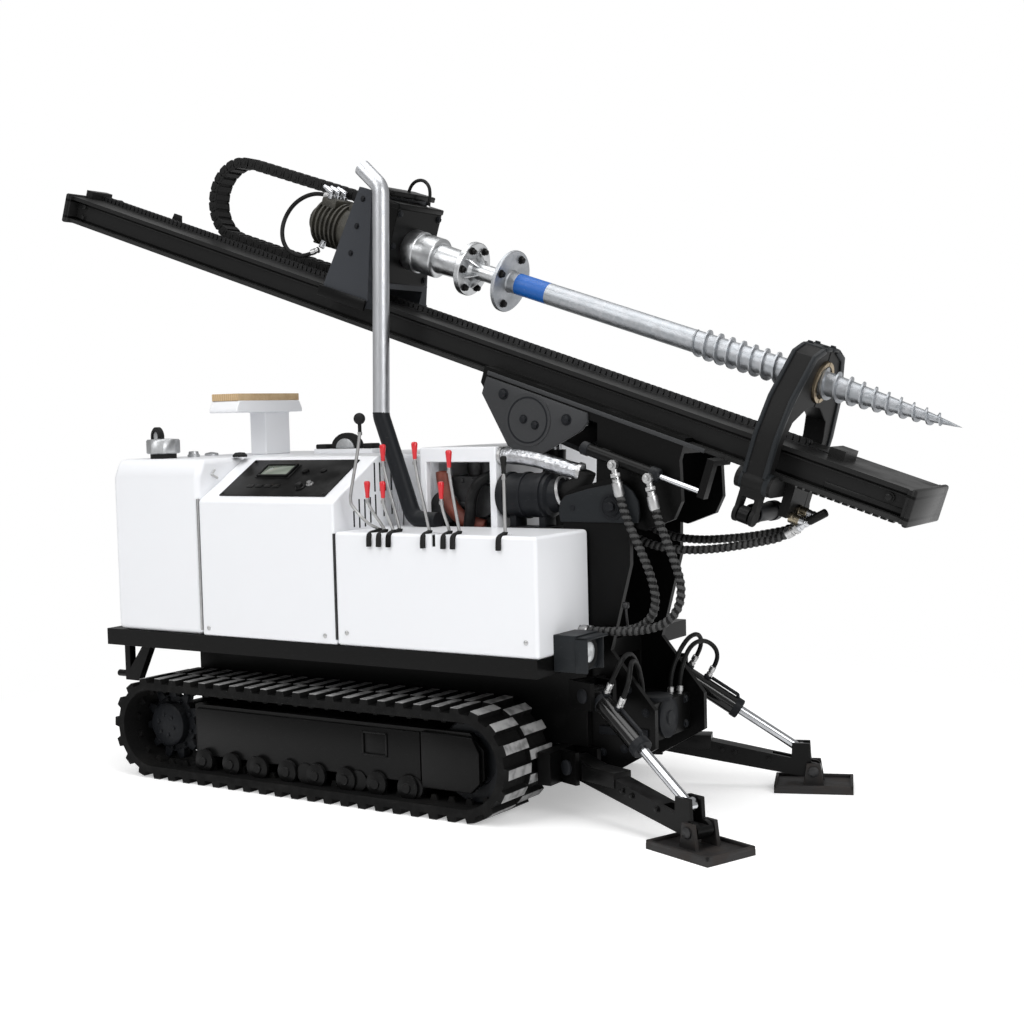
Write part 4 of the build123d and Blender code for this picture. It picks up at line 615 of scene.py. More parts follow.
# %% Hose maker
HOSES = {
    "slide_hose_rear": [(868.8, -253, 1245.6), (885.6, -253, 1163.3), (922, -253, 1068), (970, -253, 972),
                        (1008, -253, 882), (1024, -253, 802), (1000, -253, 736), (938, -253, 699),
                        (834, -253, 684), (729, -253, 684)],
    "slide_hose_front": [(1009, -253, 1198), (1023.4, -253, 1127.4), (1062, -258, 1040), (1104, -266, 952),
                         (1136, -274, 866), (1128, -282, 786), (1076, -288, 728), (984, -290, 700),
                         (852, -290, 690), (729, -290, 690)],
    "clamp_hose_near": [(742.2, -70, 1445.4), (717.7, -70, 1373.4), (712, -70, 1270), (728, -70, 1166),
                        (772, -70, 1074), (846, -70, 1010), (940, -70, 980), (1050, -70, 970),
                        (1162, -71, 977), (1268, -72, 993), (1366, -72, 1012), (1422.8, -72, 1024.4),
                        (1476.8, -72, 1054.8)],
    "clamp_hose_far": [(751.6, 70, 1442.2), (727.2, 70, 1370.2), (722, 70, 1270), (740, 70, 1170),
                       (786, 69, 1084), (862, 64, 1028), (960, 52, 1004), (1066, 37, 1000),
                       (1172, 21, 1008), (1276, 4, 1020), (1372, -11, 1037), (1430.8, -20, 1048.1),
                       (1484.9, -20, 1078.4)],
}
LEG_HOSES = {
    "upper": [(868.5, -341.7, 489.1), (893.9, -351.3, 531.1), (912, -335, 582), (916, -290, 612),
              (908, -232, 606), (898, -178, 566), (889, -138, 512), (885, -112, 456), (885, -112, 400)],
    "lower": [(931.2, -365.3, 445.6), (956.7, -374.9, 487.5), (966, -362, 536), (952, -326, 574),
              (934, -278, 588), (922, -226, 576), (914, -186, 540), (906, -148, 462), (906, -148, 400)],
}
HEAD_HOSES = {
    "head_loop_rear": [(-690, -30, 396), (-744, -30, 396), (-800, -42, 374), (-842, -60, 330),
                       (-862, -76, 272), (-858, -90, 212), (-828, -98, 158), (-776, -98, 126),
                       (-703.6, -84.2, 129.5), (-664, -68, 170)],
    "head_loop_top": [(-376, 70, 472), (-376, 70, 514), (-356, 70, 548), (-318, 70, 562), (-282, 70, 546),
                      (-266, 70, 512), (-262, 70, 476), (-262, 70, 442)],
}
WINDING_DEPTH = 0.09


def route_line(name, points, fineness):
    curve = bpy.data.curves.new(name, "CURVE")
    curve.dimensions = "3D"
    spline = curve.splines.new("NURBS")
    spline.points.add(len(points) - 1)
    for knot, point in zip(spline.points, points):
        knot.co = (*(Vector(point) * MM), 1)
    spline.order_u = 3
    spline.use_endpoint_u = True
    spline.resolution_u = fineness
    return curve


def as_mesh(curve, name):
    holder = bpy.data.objects.new(name, curve)
    show(holder)
    bpy.context.view_layer.update()
    mesh = bpy.data.meshes.new_from_object(holder.evaluated_get(bpy.context.evaluated_depsgraph_get()))
    bpy.data.objects.remove(holder)
    return mesh


def tube(name, points, radius, finish, winding=0.0, sides=3, groove=None):
    curve = route_line(name, points, 30 if winding else 12)
    line = as_mesh(curve, name + "_line")
    path = [vertex.co.copy() for vertex in line.vertices]
    bpy.data.meshes.remove(line)
    curve.bevel_depth = radius * MM
    curve.bevel_resolution = sides
    mesh = as_mesh(curve, name)
    bpy.data.curves.remove(curve)
    per_ring = len(mesh.vertices) // len(path)
    travelled = 0.0
    sunk = set()
    for i, centre in enumerate(path):
        travelled += (centre - path[i - 1]).length if i else 0.0
        for k in range(per_ring if winding else 0):
            turn = 2 * pi * (k / per_ring + travelled / (winding * MM))
            swell = 1 + WINDING_DEPTH * max(-1.0, min(1.0, 2.5 * sin(turn)))
            vertex = mesh.vertices[i * per_ring + k]
            vertex.co = centre + (vertex.co - centre) * swell
            if swell < 1:
                sunk.add(vertex.index)
    shape = bmesh.new()
    shape.from_mesh(mesh)
    bmesh.ops.holes_fill(shape, edges=[edge for edge in shape.edges if edge.is_boundary])
    bmesh.ops.recalc_face_normals(shape, faces=shape.faces)
    for face in shape.faces:
        face.smooth = len(face.verts) == 4
        face.material_index = int(groove is not None and sum(v.index in sunk for v in face.verts) > 2)
    mesh.materials.clear()
    mesh.materials.append(finish.material)
    if groove is not None:
        mesh.materials.append(groove.material)
    shape.to_mesh(mesh)
    shape.free()
    piece = bpy.data.objects.new(name, mesh)
    show(piece)
    length = sum((b - a).length for a, b in zip(path, path[1:]))
    print(name, "length", round(length, 3), "m", len(mesh.vertices), "points")
    return piece, path, length


def hose(name, node, points, radius, finish, bodies, winding=0.0):
    piece, path, length = tube(name, points, radius, finish, winding, groove=HOSE if winding else None)
    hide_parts(node)
    if len(bodies) == 1:
        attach(piece, bodies[0])
    else:
        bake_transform(piece)
    2 * radius * MM
    return path


def pipe(name, points, radius, finish, sides, stands_for=()):
    piece = tube(name, points, radius, finish, 0.0, sides)[0]
    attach(piece, "chassis")
    if stands_for:
        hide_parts(*stands_for)


# %% Hoses
paths = {}
for name in ("slide_hose_rear", "slide_hose_front"):
    paths[name] = hose(name, "slide_hoses", HOSES[name][::-1], 15.0, GUARD, ("chassis", "cradle"), 24.0)
for name in ("clamp_hose_near", "clamp_hose_far"):
    paths[name] = hose(name, "clamp_hoses", HOSES[name], 15.0, GUARD, ("cradle", "mast"), 22.0)
for side, sign in (("near", 1), ("far", -1)):
    for name, points in LEG_HOSES.items():
        points = [(x, sign * y, z) for x, y, z in points[::-1]]
        label = "leg_hose_" + name + "_" + side
        paths[label] = hose(label, "leg_hoses_" + side, points, 9.0, HOSE, ("chassis", "leg_barrel_" + side))
for (name, points), radius in zip(HEAD_HOSES.items(), (9.0, 7.0)):
    points = [tuple((MAST @ Vector(point)) / MM) for point in points]
    paths[name] = hose(name, "head_hoses", points, radius, HOSE, ("head",))

# %% [markdown]
# Each hose ends in a crimped ferrule with a hexagon nut. They are turned along the first or last bit of the
# line.

# %% Ferrules
def ferrule(work, end, inward, radius, length):
    start = Vector(end) / MM
    axis = (Vector(inward) - Vector(end)).normalized()
    work.turned(start, axis, [(0, radius * 1.1), (length * 0.25, radius * 1.15), (length * 0.3, radius * 1.4),
                              (length * 0.9, radius * 1.4), (length, radius * 1.1), (length, 0)], 28)
    work.rod(start - axis * radius * 0.9, start + axis * 1, radius * 1.45, 6, 1.0)


ends = {
    "cradle": [("slide_hose_rear", -1, 14, 74), ("slide_hose_front", -1, 14, 74),
               ("clamp_hose_near", 0, 14, 46), ("clamp_hose_far", 0, 14, 46)],
    "mast": [("clamp_hose_near", -1, 14, 40), ("clamp_hose_far", -1, 14, 40)],
    "chassis": [("slide_hose_rear", 0, 14, 34), ("slide_hose_front", 0, 14, 34)],
    "head": [("head_loop_rear", 0, 9, 30), ("head_loop_rear", -1, 9, 30), ("head_loop_top", 0, 7, 26),
             ("head_loop_top", -1, 7, 26)],
}
for side in LEGS:
    ends["leg_barrel_" + side] = [("leg_hose_upper_" + side, -1, 9, 30),
                                  ("leg_hose_lower_" + side, -1, 9, 30)]
    ends["chassis"] += [("leg_hose_upper_" + side, 0, 9, 30), ("leg_hose_lower_" + side, 0, 9, 30)]
for body, fittings in ends.items():
    work = Work()
    for name, end, radius, length in fittings:
        path = paths[name]
        further = path[8] if end == 0 else path[-9]
        ferrule(work, path[end], further, radius, length)
    work.done("ferrules_" + body, BRIGHT, body)

# %% [markdown]
# The cabinets are sheet-metal boxes. What makes them read as doors and covers are the pan-head screws in
# their corners, the latch and the louvres. The control panel is a black plate with a display in a raised
# bezel, round knobs, a key and a row of soft buttons. All plates stay blank.

# %% Cabinet hardware
HALF_WIDTH = 581.0
TANK_REAR = -1347.0
TANK_TOP = 1331.0
DOOR_SKIN = 4.0
SCREWS = {-1: ((-828, 652), (-227, 654), (-120, 671), (679, 680)),
          1: ((-828, 652), (-70, 652), (-1310, 652), (0, 660), (300, 660))}
PAN_HEAD = [(-1, 9), (2, 9), (5, 6), (6, 0)]
work = Work()
for side in (-1, 1):
    copies = [Matrix.Translation((x, side * HALF_WIDTH, z)) for x, z in SCREWS[side]]
    work.turned((0, 0, 0), (0, side, 0), PAN_HEAD, 20, copies)
for y in (-500, 0, 500):
    work.turned((TANK_REAR, y, 660), (-1, 0, 0), PAN_HEAD, 20)
work.rod((-864, -500, 1268), (-840, -486, 1250), 5, 16, 1)
work.rod((-850, -504, 1272), (-846, -494, 1286), 4, 16, 1)
work.done("cabinet_screws", BRIGHT, "chassis")

for y in (-260, 260):
    work.box((TANK_REAR - DOOR_SKIN, y - 230, 690), (TANK_REAR, y + 230, 1250), 3)
for x in (-760, -330):
    work.box((x - 5, HALF_WIDTH, 700), (x + 395, HALF_WIDTH + DOOR_SKIN, 1210), 3)
work.done("door_skins", WHITE, "chassis")

for y in (-60, 60):
    work.box((-1366, y - 12, 930), (-1350, y + 12, 1030), 4)
for x in (-420, 10):
    work.box((x - 12, 584, 930), (x + 12, 598, 1030), 4)
work.done("door_latches", PLASTIC, "chassis")

for x in (2, 47, 92, 249, 293, 339, 381, 577):
    work.box((x - 7.7, -576, 1006), (x + 7.7, -487, 1050), 1)
work.done("slot_seals", CAST_BLACK, "chassis")

# Grey strips in the seams between tank and console and between console and valve cover: painted shade of the
# rounded edges and of the gaps between the cabinets.
SEAM_SHADE_STRIPS = [(-872, -863, 642, 1172, STEEL), (-175, -167, 642, 1046, DARK_STEEL)]
for k, (x0, x1, z0, z1, finish) in enumerate(SEAM_SHADE_STRIPS):
    work = Work()
    work.box((x0, -583, z0), (x1, -570, z1), 2)
    work.done("seam_painted_shade_" + str(k), finish, "chassis")

LOUVRES = [(y, 1190, 1304) for y in (-318, -284, -250, -212)]
LOUVRES += [(-454, 1061, 1124), (-420, 1056, 1168), (-385, 1058, 1166), (-350, 1070, 1172),
            (-316, 1088, 1180), (-264, 1090, 1178), (-212, 1095, 1176)]
work = Work()
for y, low, high in LOUVRES:
    work.box((-174, y - 5, low), (-169, y + 5, high), 2)
work.done("console_louvres", SATIN, "chassis")

Work().box((-791, 60, 1329), (-471, 140, 1350), 4).done("deck_lid", WHITE, "chassis")
arch = [(-634 + 82 * cos(pi * i / 12), 1350 + 68 * sin(pi * i / 12)) for i in range(13)]
work.plate(arch, 84, 116, "y", 6)
work.box((-788, 70, 1349), (-730, 130, 1370), 6)
work.box((-530, 70, 1349), (-480, 130, 1372), 6)
work.done("deck_guard", PLASTIC, "chassis")
arch = [(-634 + 50 * cos(pi * i / 12), 1352 + 42 * sin(pi * i / 12)) for i in range(13)]
work.plate(arch, 78, 90, "y", 4)
work.done("deck_guard_face", CAP_GREY, "chassis")

# %% Control panel
RISE = 167.0
RUN = 286.0
SLANT = (RISE * RISE + RUN * RUN) ** 0.5
PANEL = space((-503.5, -438, 1247.5), (1, 0, 0), (0, RUN / SLANT, RISE / SLANT),
              (0, -RISE / SLANT, RUN / SLANT))
DISPLAY_FRAME = [((-164, -4, 8), (-2, 6, 18)), ((-164, 74, 8), (-2, 84, 18)),
                 ((-164, -4, 8), (-154, 84, 18)), ((-12, -4, 8), (-2, 84, 18))]
work = Work(PANEL)
work.box((-272, -130, 0), (272, 130, 6), 4)
work.box((-172, -8, 6), (6, 88, 10), 3)
for low, high in DISPLAY_FRAME:
    work.box(low, high, 3)
work.turned((114, -76, 6), (0, 0, 1), [(0, 20), (5, 20), (7, 15), (20, 13), (22, 10)], 32)
work.turned((60, 40, 6), (0, 0, 1), [(0, 16), (8, 15), (10, 0)], 32)
work.turned((150, 44, 6), (0, 0, 1), [(0, 14), (6, 13), (8, 0)], 32)
for x in (-150, -105, -60, -15):
    work.box((x - 16, -76, 5), (x + 16, -56, 9), 6)
for x in (-258, 258):
    for y in (-116, 116):
        work.turned((x, y, 6), (0, 0, 1), [(0, 6), (2, 6), (3, 4), (3.5, 0)], 16)
work.done("panel_plate", BLACK, "chassis", ("control_panel",))
Work(PANEL).box((-155, 5, 9), (-11, 75, 13), 2).done("panel_display", DISPLAY, "chassis")
work.turned((146, -52, 5), (0, 0, 1), [(0, 15), (5, 15), (6, 10), (16, 9), (17, 0)], 32)
work.done("panel_trim", BRIGHT, "chassis")

# %% [markdown]
# On the tank stand the filler and the breather. The filler cap is an eight-sided casting, so it is a turned
# profile with only eight sides. The grips of the levers are tapered red plastic with rounded ends.

# %% Filler and grips
FILLER = (-1176, -450, TANK_TOP)
work = Work()
work.turned(FILLER, (0, 0, 1), [(20, 64), (24, 69), (74, 69), (80, 64), (82, 30)], 8)
work.turned((-1150, -300, TANK_TOP), (0, 0, 1), [(0, 26), (10, 26), (12, 22), (24, 20), (26, 0)], 24)
work.turned((-1237, -100, TANK_TOP), (0, 0, 1), [(0, 30), (8, 30), (12, 24), (16, 0)], 24)
work.done("filler_lid", CAP_GREY, "chassis", ("filler_cap",))
work.turned(FILLER, (0, 0, 1), [(0, 54), (21, 54)], 36)
wheel = (FILLER[0] - 84, FILLER[1] + 36, FILLER[2] + 90)
work.turned(wheel, (0.3, 1, 0), [(0, 24), (0, 36), (4, 41), (22, 41), (26, 36), (26, 24), (0, 24)], 36)
work.box((wheel[0] - 12, wheel[1] + 4, FILLER[2]), (wheel[0] + 12, wheel[1] + 24, wheel[2] - 30), 3)
work.turned((-850, -340, TANK_TOP), (0, 0, 1), [(0, 30), (8, 30), (18, 20), (20, 0)], 28)
work.done("breather_rim", PLASTIC, "chassis")
work.turned(wheel, (0.3, 1, 0), [(4, 0), (2, 10), (6, 24), (20, 24), (24, 10), (22, 0)], 36)
work.done("breather_hub", CAP_GREY, "chassis")

GRIP_LENGTH = 72.0
GRIPS = [(-55, -548, 1499), (-11, -570, 1246), (65, -575, 1246), (36, -530, 1381), (212, -570, 1389),
         (325, -570, 1245), (363, -570, 1358), (590, -560, 1335)]
TAPER = [(8, 6), (12, 8), (18, 7.5), (52, 11), (64, 12), (70, 9), (72, 0)]
for x, y, z in GRIPS[1:7]:
    work.turned((x, y, z - GRIP_LENGTH), (0, 0, 1), TAPER, 28)
work.done("red_grips", RED, "chassis", ("lever_grips",))
x, y, z = GRIPS[0]
shape = bmesh.new()
bmesh.ops.create_uvsphere(shape, u_segments=28, v_segments=16, radius=22,
                          matrix=Matrix.Translation((x, y, z - 22)))
work.add(shape)
work.rod((x, y, z - GRIP_LENGTH), (x, y, z - 36), 7, 20, 1)
x, y, z = GRIPS[7]
work.turned((x, y, z - GRIP_LENGTH), (0, 0, 1), TAPER, 28)
work.done("black_grips", PLASTIC, "chassis")
for x, y, z in GRIPS:
    work.rod((x, y, z - GRIP_LENGTH - 12), (x, y, z - GRIP_LENGTH), 9, 6, 1)
work.done("grip_nuts", STEEL, "chassis")

FEET = [(2, -512), (47, -540), (92, -550), (92, -510), (249, -540), (339, -540), (381, -540), (577, -540)]
for k, ((foot_x, foot_y), (x, y, z)) in enumerate(zip(FEET, GRIPS)):
    run = [(foot_x, foot_y, 1045), (foot_x, foot_y, 1060), (x, y, z - GRIP_LENGTH - 20),
           (x, y, z - GRIP_LENGTH + 8)]
    if k == 0:
        run[2:2] = [(-30, -550, 1083), (-104, -550, 1150), (-108, -550, 1170), (-108, -550, 1190)]
    pipe("lever_rod_" + str(k), run, 6.0, STEEL, 4, ("control_levers",))
    shoe = [(foot_x, foot_y, 1064), (foot_x, foot_y, 1056), (foot_x, -576, 1050), (foot_x, -588, 1040),
            (foot_x, -588, 1002)]
    pipe("lever_shoe_" + str(k), shoe, 10.0, PLASTIC, 4)

# %% [markdown]
# Under the open hood sit the engine, its pulleys, the intake duct and a black hose. In front of the hood is
# the air cleaner, a ribbed can with clamp bands, fed by a foil-wrapped pipe.

# %% Engine bay
FAN_PULLEY = [(0, 22), (6, 30), (6, 58), (12, 66), (18, 58), (24, 66), (30, 66)]
CRANK_PULLEY = [(0, 18), (6, 24), (6, 72), (14, 80), (20, 72), (26, 80), (32, 80)]
DUCT_RUN = [(40, -150, 1260), (52, -160, 1180), (96, -168, 1110), (160, -164, 1060), (226, -140, 1046)]
COOLANT_RUN = [(290, -150, 1250), (240, -190, 1236), (200, -196, 1170), (190, -190, 1080), (150, -170, 960)]
work.turned((44, -168, 1120), (0, 1, 0), FAN_PULLEY, 40)
work.turned((-10, -168, 980), (0, 1, 0), CRANK_PULLEY, 40)
for z in range(700, 1180, 60):
    work.box((30, -132, z), (270, -118, z + 22), 4)
work.bolts([(60 + 50 * i, -120, 1225) for i in range(5)], (0, -1, 0), 9)
work.done("engine_front", ENGINE, "chassis")
for x in (150, 210):
    work.turned((x, -60, 1236), (0, 0, 1), [(0, 40), (20, 46), (60, 46), (66, 36)], 36)
work.done("engine_filters", DARK_STEEL, "chassis")
pipe("intake_duct", DUCT_RUN, 30, DUCT_RED, 6)
pipe("coolant_pipe", COOLANT_RUN, 22, HOSE, 6)

CLEANER = (330, -150, 1172)
CAN = [(0, 78), (6, 84), (22, 84), (24, 89), (36, 89), (38, 84), (96, 84), (98, 89), (110, 89), (112, 84),
       (176, 84), (178, 90), (196, 90), (198, 82), (214, 82), (222, 66), (260, 60)]
work.turned(CLEANER, (1, 0, 0), CAN, 56)
work.box((370, -190, 1050), (400, -110, 1096), 4)
work.box((500, -190, 1050), (530, -110, 1096), 4)
work.box((360, -200, 1040), (560, -100, 1054), 3)
work.box((440, -180, 621), (470, -120, 1044), 3)
work.done("air_can", SATIN, "chassis", ("air_cleaner",))
BOOT_RUN = [(590, -150, 1182), (640, -152, 1196), (676, -154, 1224), (690, -154, 1262)]
FOIL_RUN = [(330, -178, 1322), (400, -182, 1322), (500, -182, 1308), (590, -178, 1282), (676, -162, 1258)]
pipe("ribbed_boot", BOOT_RUN, 38, PLASTIC, 8)
pipe("wrapped_pipe", FOIL_RUN, 31, FOIL, 8)
work.turned((664, -164, 1262), (0.95, 0.15, -0.27), [(0, 33), (0, 36), (14, 36), (14, 33), (0, 33)], 36)
work.turned((330, -178, 1322), (1, 0, 0), [(2, 33), (2, 36), (16, 36), (16, 33), (2, 33)], 36)
work.turned((590, -150, 1180), (1, 0, 0.2), [(0, 60), (0, 66), (12, 66), (12, 60), (0, 60)], 36)
work.done("pipe_clamps", BRIGHT, "chassis")

# %% [markdown]
# The exhaust is a black elbow and a bright stack. A cut tube shows its wall at the open end, so the mouth
# gets a thin ring and a dark bottom.

# %% Exhaust mouth
STACK_Y = -262.0
mouth = Vector((-228, STACK_Y, 2456))
blow = Vector((-88, 0, 83)).normalized()
STACK_RIM = [(-8, 33.2), (0.6, 33.2), (1.2, 32), (1.2, 29), (-30, 29), (-30, 33.2), (-8, 33.2)]
work.turned(mouth, blow, STACK_RIM, 40)
work.done("stack_rim", PIPE, "chassis")
work.turned(mouth, blow, [(-6, 29), (0.8, 29.2), (0.8, 28), (0.5, 28)], 40)
work.done("stack_soot", CAST_BLACK, "chassis")
slant = [(-171, 1500), (-171, 1484), (-158, 1450), (-60, 1180), (-30, 1090), (20, 1076), (90, 1076)]
pipe("slant_pipe", [(x, STACK_Y, z) for x, z in slant], 33.5, SATIN, 8, ("exhaust_elbow",))

# %% [markdown]
# Undercarriage: a sprocket with teeth drives the rubber belt, a smooth idler guides it at the front, and
# rows of inner teeth run between the rollers. The track frame has cover plates and a framed window.

# %% Undercarriage
SPROCKET_TEETH = 11
TOOTH = [(-24, 112), (24, 112), (12, 153), (-12, 153)]
HUB = [(0, 78), (165, 78), (172, 120), (204, 120), (206, 92), (242, 90), (250, 78), (252, 0)]
IDLER_RIM = [(0, 152), (8, 159), (36, 159), (40, 150), (64, 150), (68, 159), (96, 159), (104, 152),
             (104, 96), (92, 90), (92, 44), (112, 40)]
for side in (-1, 1):
    for k in range(SPROCKET_TEETH):
        turn = Matrix.Translation(WHEEL) @ Matrix.Rotation(2 * pi * k / SPROCKET_TEETH, 4, "Y")
        work.plate(TOOTH, side * 430 - 18, side * 430 + 18, "y", 3, [turn])
    work.turned((WHEEL.x, side * 240, WHEEL.z), (0, side, 0), HUB, 56)
    work.turned((IDLER.x, side * 378, IDLER.z), (0, side, 0), IDLER_RIM, 64)
work.done("drive_wheels", SATIN, "chassis", ("track_wheels",))
for side in (-1, 1):
    spots = ring((WHEEL.x, side * 489, WHEEL.z), (0, side, 0), 44, 6)
    work.bolts(spots, (0, side, 0), 9)
    work.bolts(ring((WHEEL.x, side * 450, WHEEL.z), (0, side, 0), 104, 9), (0, side, 0), 8)
work.done("wheel_bolts", SATIN, "chassis")
for side in (-1, 1):
    low, high = span(side, 508, 520)
    work.box((-975, low, 112), (160, high, 306), 4)
    low, high = span(side, 508, 528)
    work.plate([(170, 100), (392, 100), (430, 140), (430, 252), (400, 306), (170, 312)], low, high, "y", 4)
    low, high = span(side, 519, 526)
    for x0, x1, z0, z1 in ((-110, -102, 196, 290), (2, 10, 196, 290), (-110, 10, 196, 204),
                           (-110, 10, 282, 290)):
        work.box((x0, low, z0), (x1, high, z1), 2)
    for x in range(-930, 240, 148):
        work.turned((x, side * 512, 92), (0, side, 0), [(0, 38), (8, 46), (22, 46), (26, 20), (32, 18)], 32)
work.done("frame_covers", BLACK, "chassis")
# A dark box in each framed window: painted shade of the recess.
for side in (-1, 1):
    low, high = span(side, 516, 521)
    work.box((-104, low, 202), (4, high, 284), 1)
work.done("frame_window_shade", SHADED_BLACK, "chassis")

BELT_RADIUS = 160.0
BASE = IDLER.x - WHEEL.x
LOOP = 2 * BASE + 2 * pi * BELT_RADIUS
TEETH = 52


def belt_spot(u):
    u = u % LOOP
    if u < BASE:
        return Matrix.Translation((WHEEL.x + u, 0, WHEEL.z - BELT_RADIUS))
    u -= BASE
    if u < pi * BELT_RADIUS:
        return (Matrix.Translation(IDLER) @ Matrix.Rotation(-u / BELT_RADIUS, 4, "Y")
                @ Matrix.Translation((0, 0, -BELT_RADIUS)))
    u -= pi * BELT_RADIUS
    if u < BASE:
        return Matrix.Translation((IDLER.x - u, 0, WHEEL.z + BELT_RADIUS)) @ Matrix.Rotation(pi, 4, "Y")
    u -= BASE
    return (Matrix.Translation(WHEEL) @ Matrix.Rotation(pi - u / BELT_RADIUS, 4, "Y")
            @ Matrix.Translation((0, 0, -BELT_RADIUS)))


spots = [belt_spot(LOOP * (i + 0.5) / TEETH) for i in range(TEETH)]
for side in (-1, 1):
    for near, far in ((318, 342), (496, 508)):
        low, high = span(side, near, far)
        work.plate([(-17, -2), (17, -2), (9, 22), (-9, 22)], low, high, "y", 0, spots)
work.done("belt_guides", RUBBER, "chassis")

# %% [markdown]
# The mast post and the cradle are welded from thick plate, so their character is in the big pins, their
# keeper plates and bolts. The lamp at the front corner is a box with a hood, a bezel and a ribbed glass. The
# box and the hood are dark grey, a lighter copy of the black that is painted light.

# %% Post, cradle and lamp
PIN_FACE = [(0, 50), (4, 50), (5, 47), (5, 40), (3, 38), (3, 34), (8, 32)]
PIVOT_FACE = [(0, 88), (2.5, 88), (2.5, 82), (0.5, 81), (0, 88)]
SLIDE_GLAND = [(0, 23), (0, 27), (30, 27), (37, 22), (37, 11.5), (0, 11.5), (0, 23)]
LAMP_BEZEL = [(0, 40), (0, 56), (8, 58), (12, 52), (12, 44), (4, 40), (0, 40)]
for side in (-1, 1):
    work.turned((835, side * 224, 1137), (0, side, 0), PIN_FACE, 48)
    work.bolts([(835, side * 231, 1137)], (0, side, 0), 19)
    work.turned((668, side * 224, 1131), (0, side, 0), [(0, 11), (3, 10), (4, 0)], 24)
    low, high = span(side, 212, 226)
    work.plate([(760, 300), (960, 300), (960, 330), (760, 330)], low, high, "y", 3)
    work.bolts([(x, side * 214, z) for x, z in ((770, 230), (860, 250), (950, 285), (950, 390), (880, 470))],
               (0, side, 0), 12)
work.bolts([(928, y, z) for y in (-150, 0, 150) for z in (285, 380)], (1, 0, 0), 12)
work.turned((928, 0, 335), (1, 0, 0), [(0, 76), (8, 76), (12, 66), (12, 30), (18, 26)], 48)
work.turned((885, 0, 400), (0, 0, 1), [(0, 60), (14, 58), (20, 50)], 40)
work.done("post_hardware", SATIN, "chassis")
EAR = [(615, 1078), (608, 1118), (614, 1150), (636, 1174), (732, 1200), (851, 1222), (888, 1216), (920, 1192),
       (941, 1156), (945, 1115), (938, 1078)]
for side in (-1, 1):
    low, high = span(side, 210, 224)
    work.plate(EAR, low, high, "y", 4)
# The ear plates are in the lighter grey that is painted light.
work.done("ear_plates", LIT_BLACK, "chassis")
work.rod((897, -238, 700), (891, -238, 776), 5, 16, 1)
work.rod((891, -238, 770), (890, -238, 794), 13, 24, 6)
work.rod((897, -238, 704), (897, -222, 700), 9, 16, 2)
work.done("valve_handle", DARK_STEEL, "chassis")

work = Work(MAST)
for side in (-1, 1):
    work.turned((606, side * 197, -164), (0, side, 0), PIVOT_FACE, 64)
    work.bolts([(473, side * 194, -103), (765, side * 194, -112)], (0, side, 0), 16)
    work.bolts([(588, side * 197, -166), (643, side * 197, -172)], (0, side, 0), 13)
work.done("cradle_hardware", SATIN, "cradle")
SIDE_PLATE = [(378, -62), (840, -62), (852, -94), (838, -130), (692, -276), (652, -290), (548, -286),
              (376, -130)]
for side in (-1, 1):
    low, high = span(side, 180, 195)
    work.plate(SIDE_PLATE, low, high, "y", 4)
    low, high = span(side, 182, 190)
    work.box((374, low, -56), (1330, high, -40), 3)
    work.turned((606, side * 193, -164), (0, side, 0), [(0, 98.5), (5.5, 98.5)], 64)
# The cradle plates carry the lighter grey of the painted sheen.
work.done("cradle_plates", CRADLE_SHEEN_BLACK, "cradle")

axis = (1, 0, 0)
work.turned((880, -222, -182), axis, [(-8, 18), (-2, 25), (24, 25), (26, 22.5), (24, 0)], 36)
work.turned((1170, -222, -182), axis, SLIDE_GLAND, 36)
work.done("slide_gland", SATIN, "cradle")
DOWN = Vector((0.2, 0, -0.98))
down = Vector((DOWN.dot(MAST_DIR), 0, DOWN.dot(MAST_UP))).normalized()
for s in (1032, 1180):
    port = Vector((s, -253, -196))
    work.turned(port + Vector((0, 8, 0)), (0, -1, 0), [(0, 18), (3, 19), (18, 19), (21, 18), (22, 12)], 32)
    work.rod(port + Vector((0, -13, 0)), port + Vector((0, -25, 0)), 12, 6, 1)
    work.turned(port, down, [(0, 12), (14, 12), (20, 11.6), (44, 11.6)], 24)
work.done("slide_banjos", BRIGHT, "cradle")

LAMP_Y = -405.0
LAMP_Z = 632.0
work = Work()
work.turned((824, LAMP_Y, LAMP_Z), (1, 0, 0), LAMP_BEZEL, 48)
work.done("lamp_bezel", PLASTIC, "chassis")
work.box((818, -484, 566), (868, -474, 692), 4)
work.box((818, -484, 682), (868, -330, 692), 4)
work.box((818, -340, 566), (850, -330, 692), 4)
work.done("lamp_hood", LIT_BLACK, "chassis")
work.turned((826, LAMP_Y, LAMP_Z), (1, 0, 0), [(0, 44), (4, 42), (9, 28), (11, 0)], 48)
work.done("lamp_lens", LENS, "chassis")

# %% [markdown]
# The mast is a box beam with two flanges. A roller chain lies on its top and pulls the head along. The
# chain is one link, made once and set down along the mast, and so are the teeth along the lower flange.

# %% Mast
MAST_END = 2069.0
END_PLATE = 22.0
work = Work(MAST)
pitch = 25.4
count = int(3680 / pitch)
spots = [Matrix.Translation((-2036 + pitch * i, 0, 0)) for i in range(count)]
link = [(-7, 62), (7, 62), (10, 66), (10, 77), (7, 81), (-7, 81), (-10, 77), (-10, 66)]
work.plate(link, 0, 4, "y", 0, spots)
work.plate(link, 32, 36, "y", 0, spots)
between = [spot @ Matrix.Translation((pitch / 2, 0, 0)) for spot in spots]
work.plate(link, 5, 8, "y", 0, between)
work.plate(link, 28, 31, "y", 0, between)
work.rod((-6, 6, 72), (-6, 30, 72), 7, 8, 0, copies=spots + between)
work.box((-2040, -1, 59), (1718, 37, 62), 0)
work.done("feed_links", DARK_STEEL, "mast", ("feed_chain",))

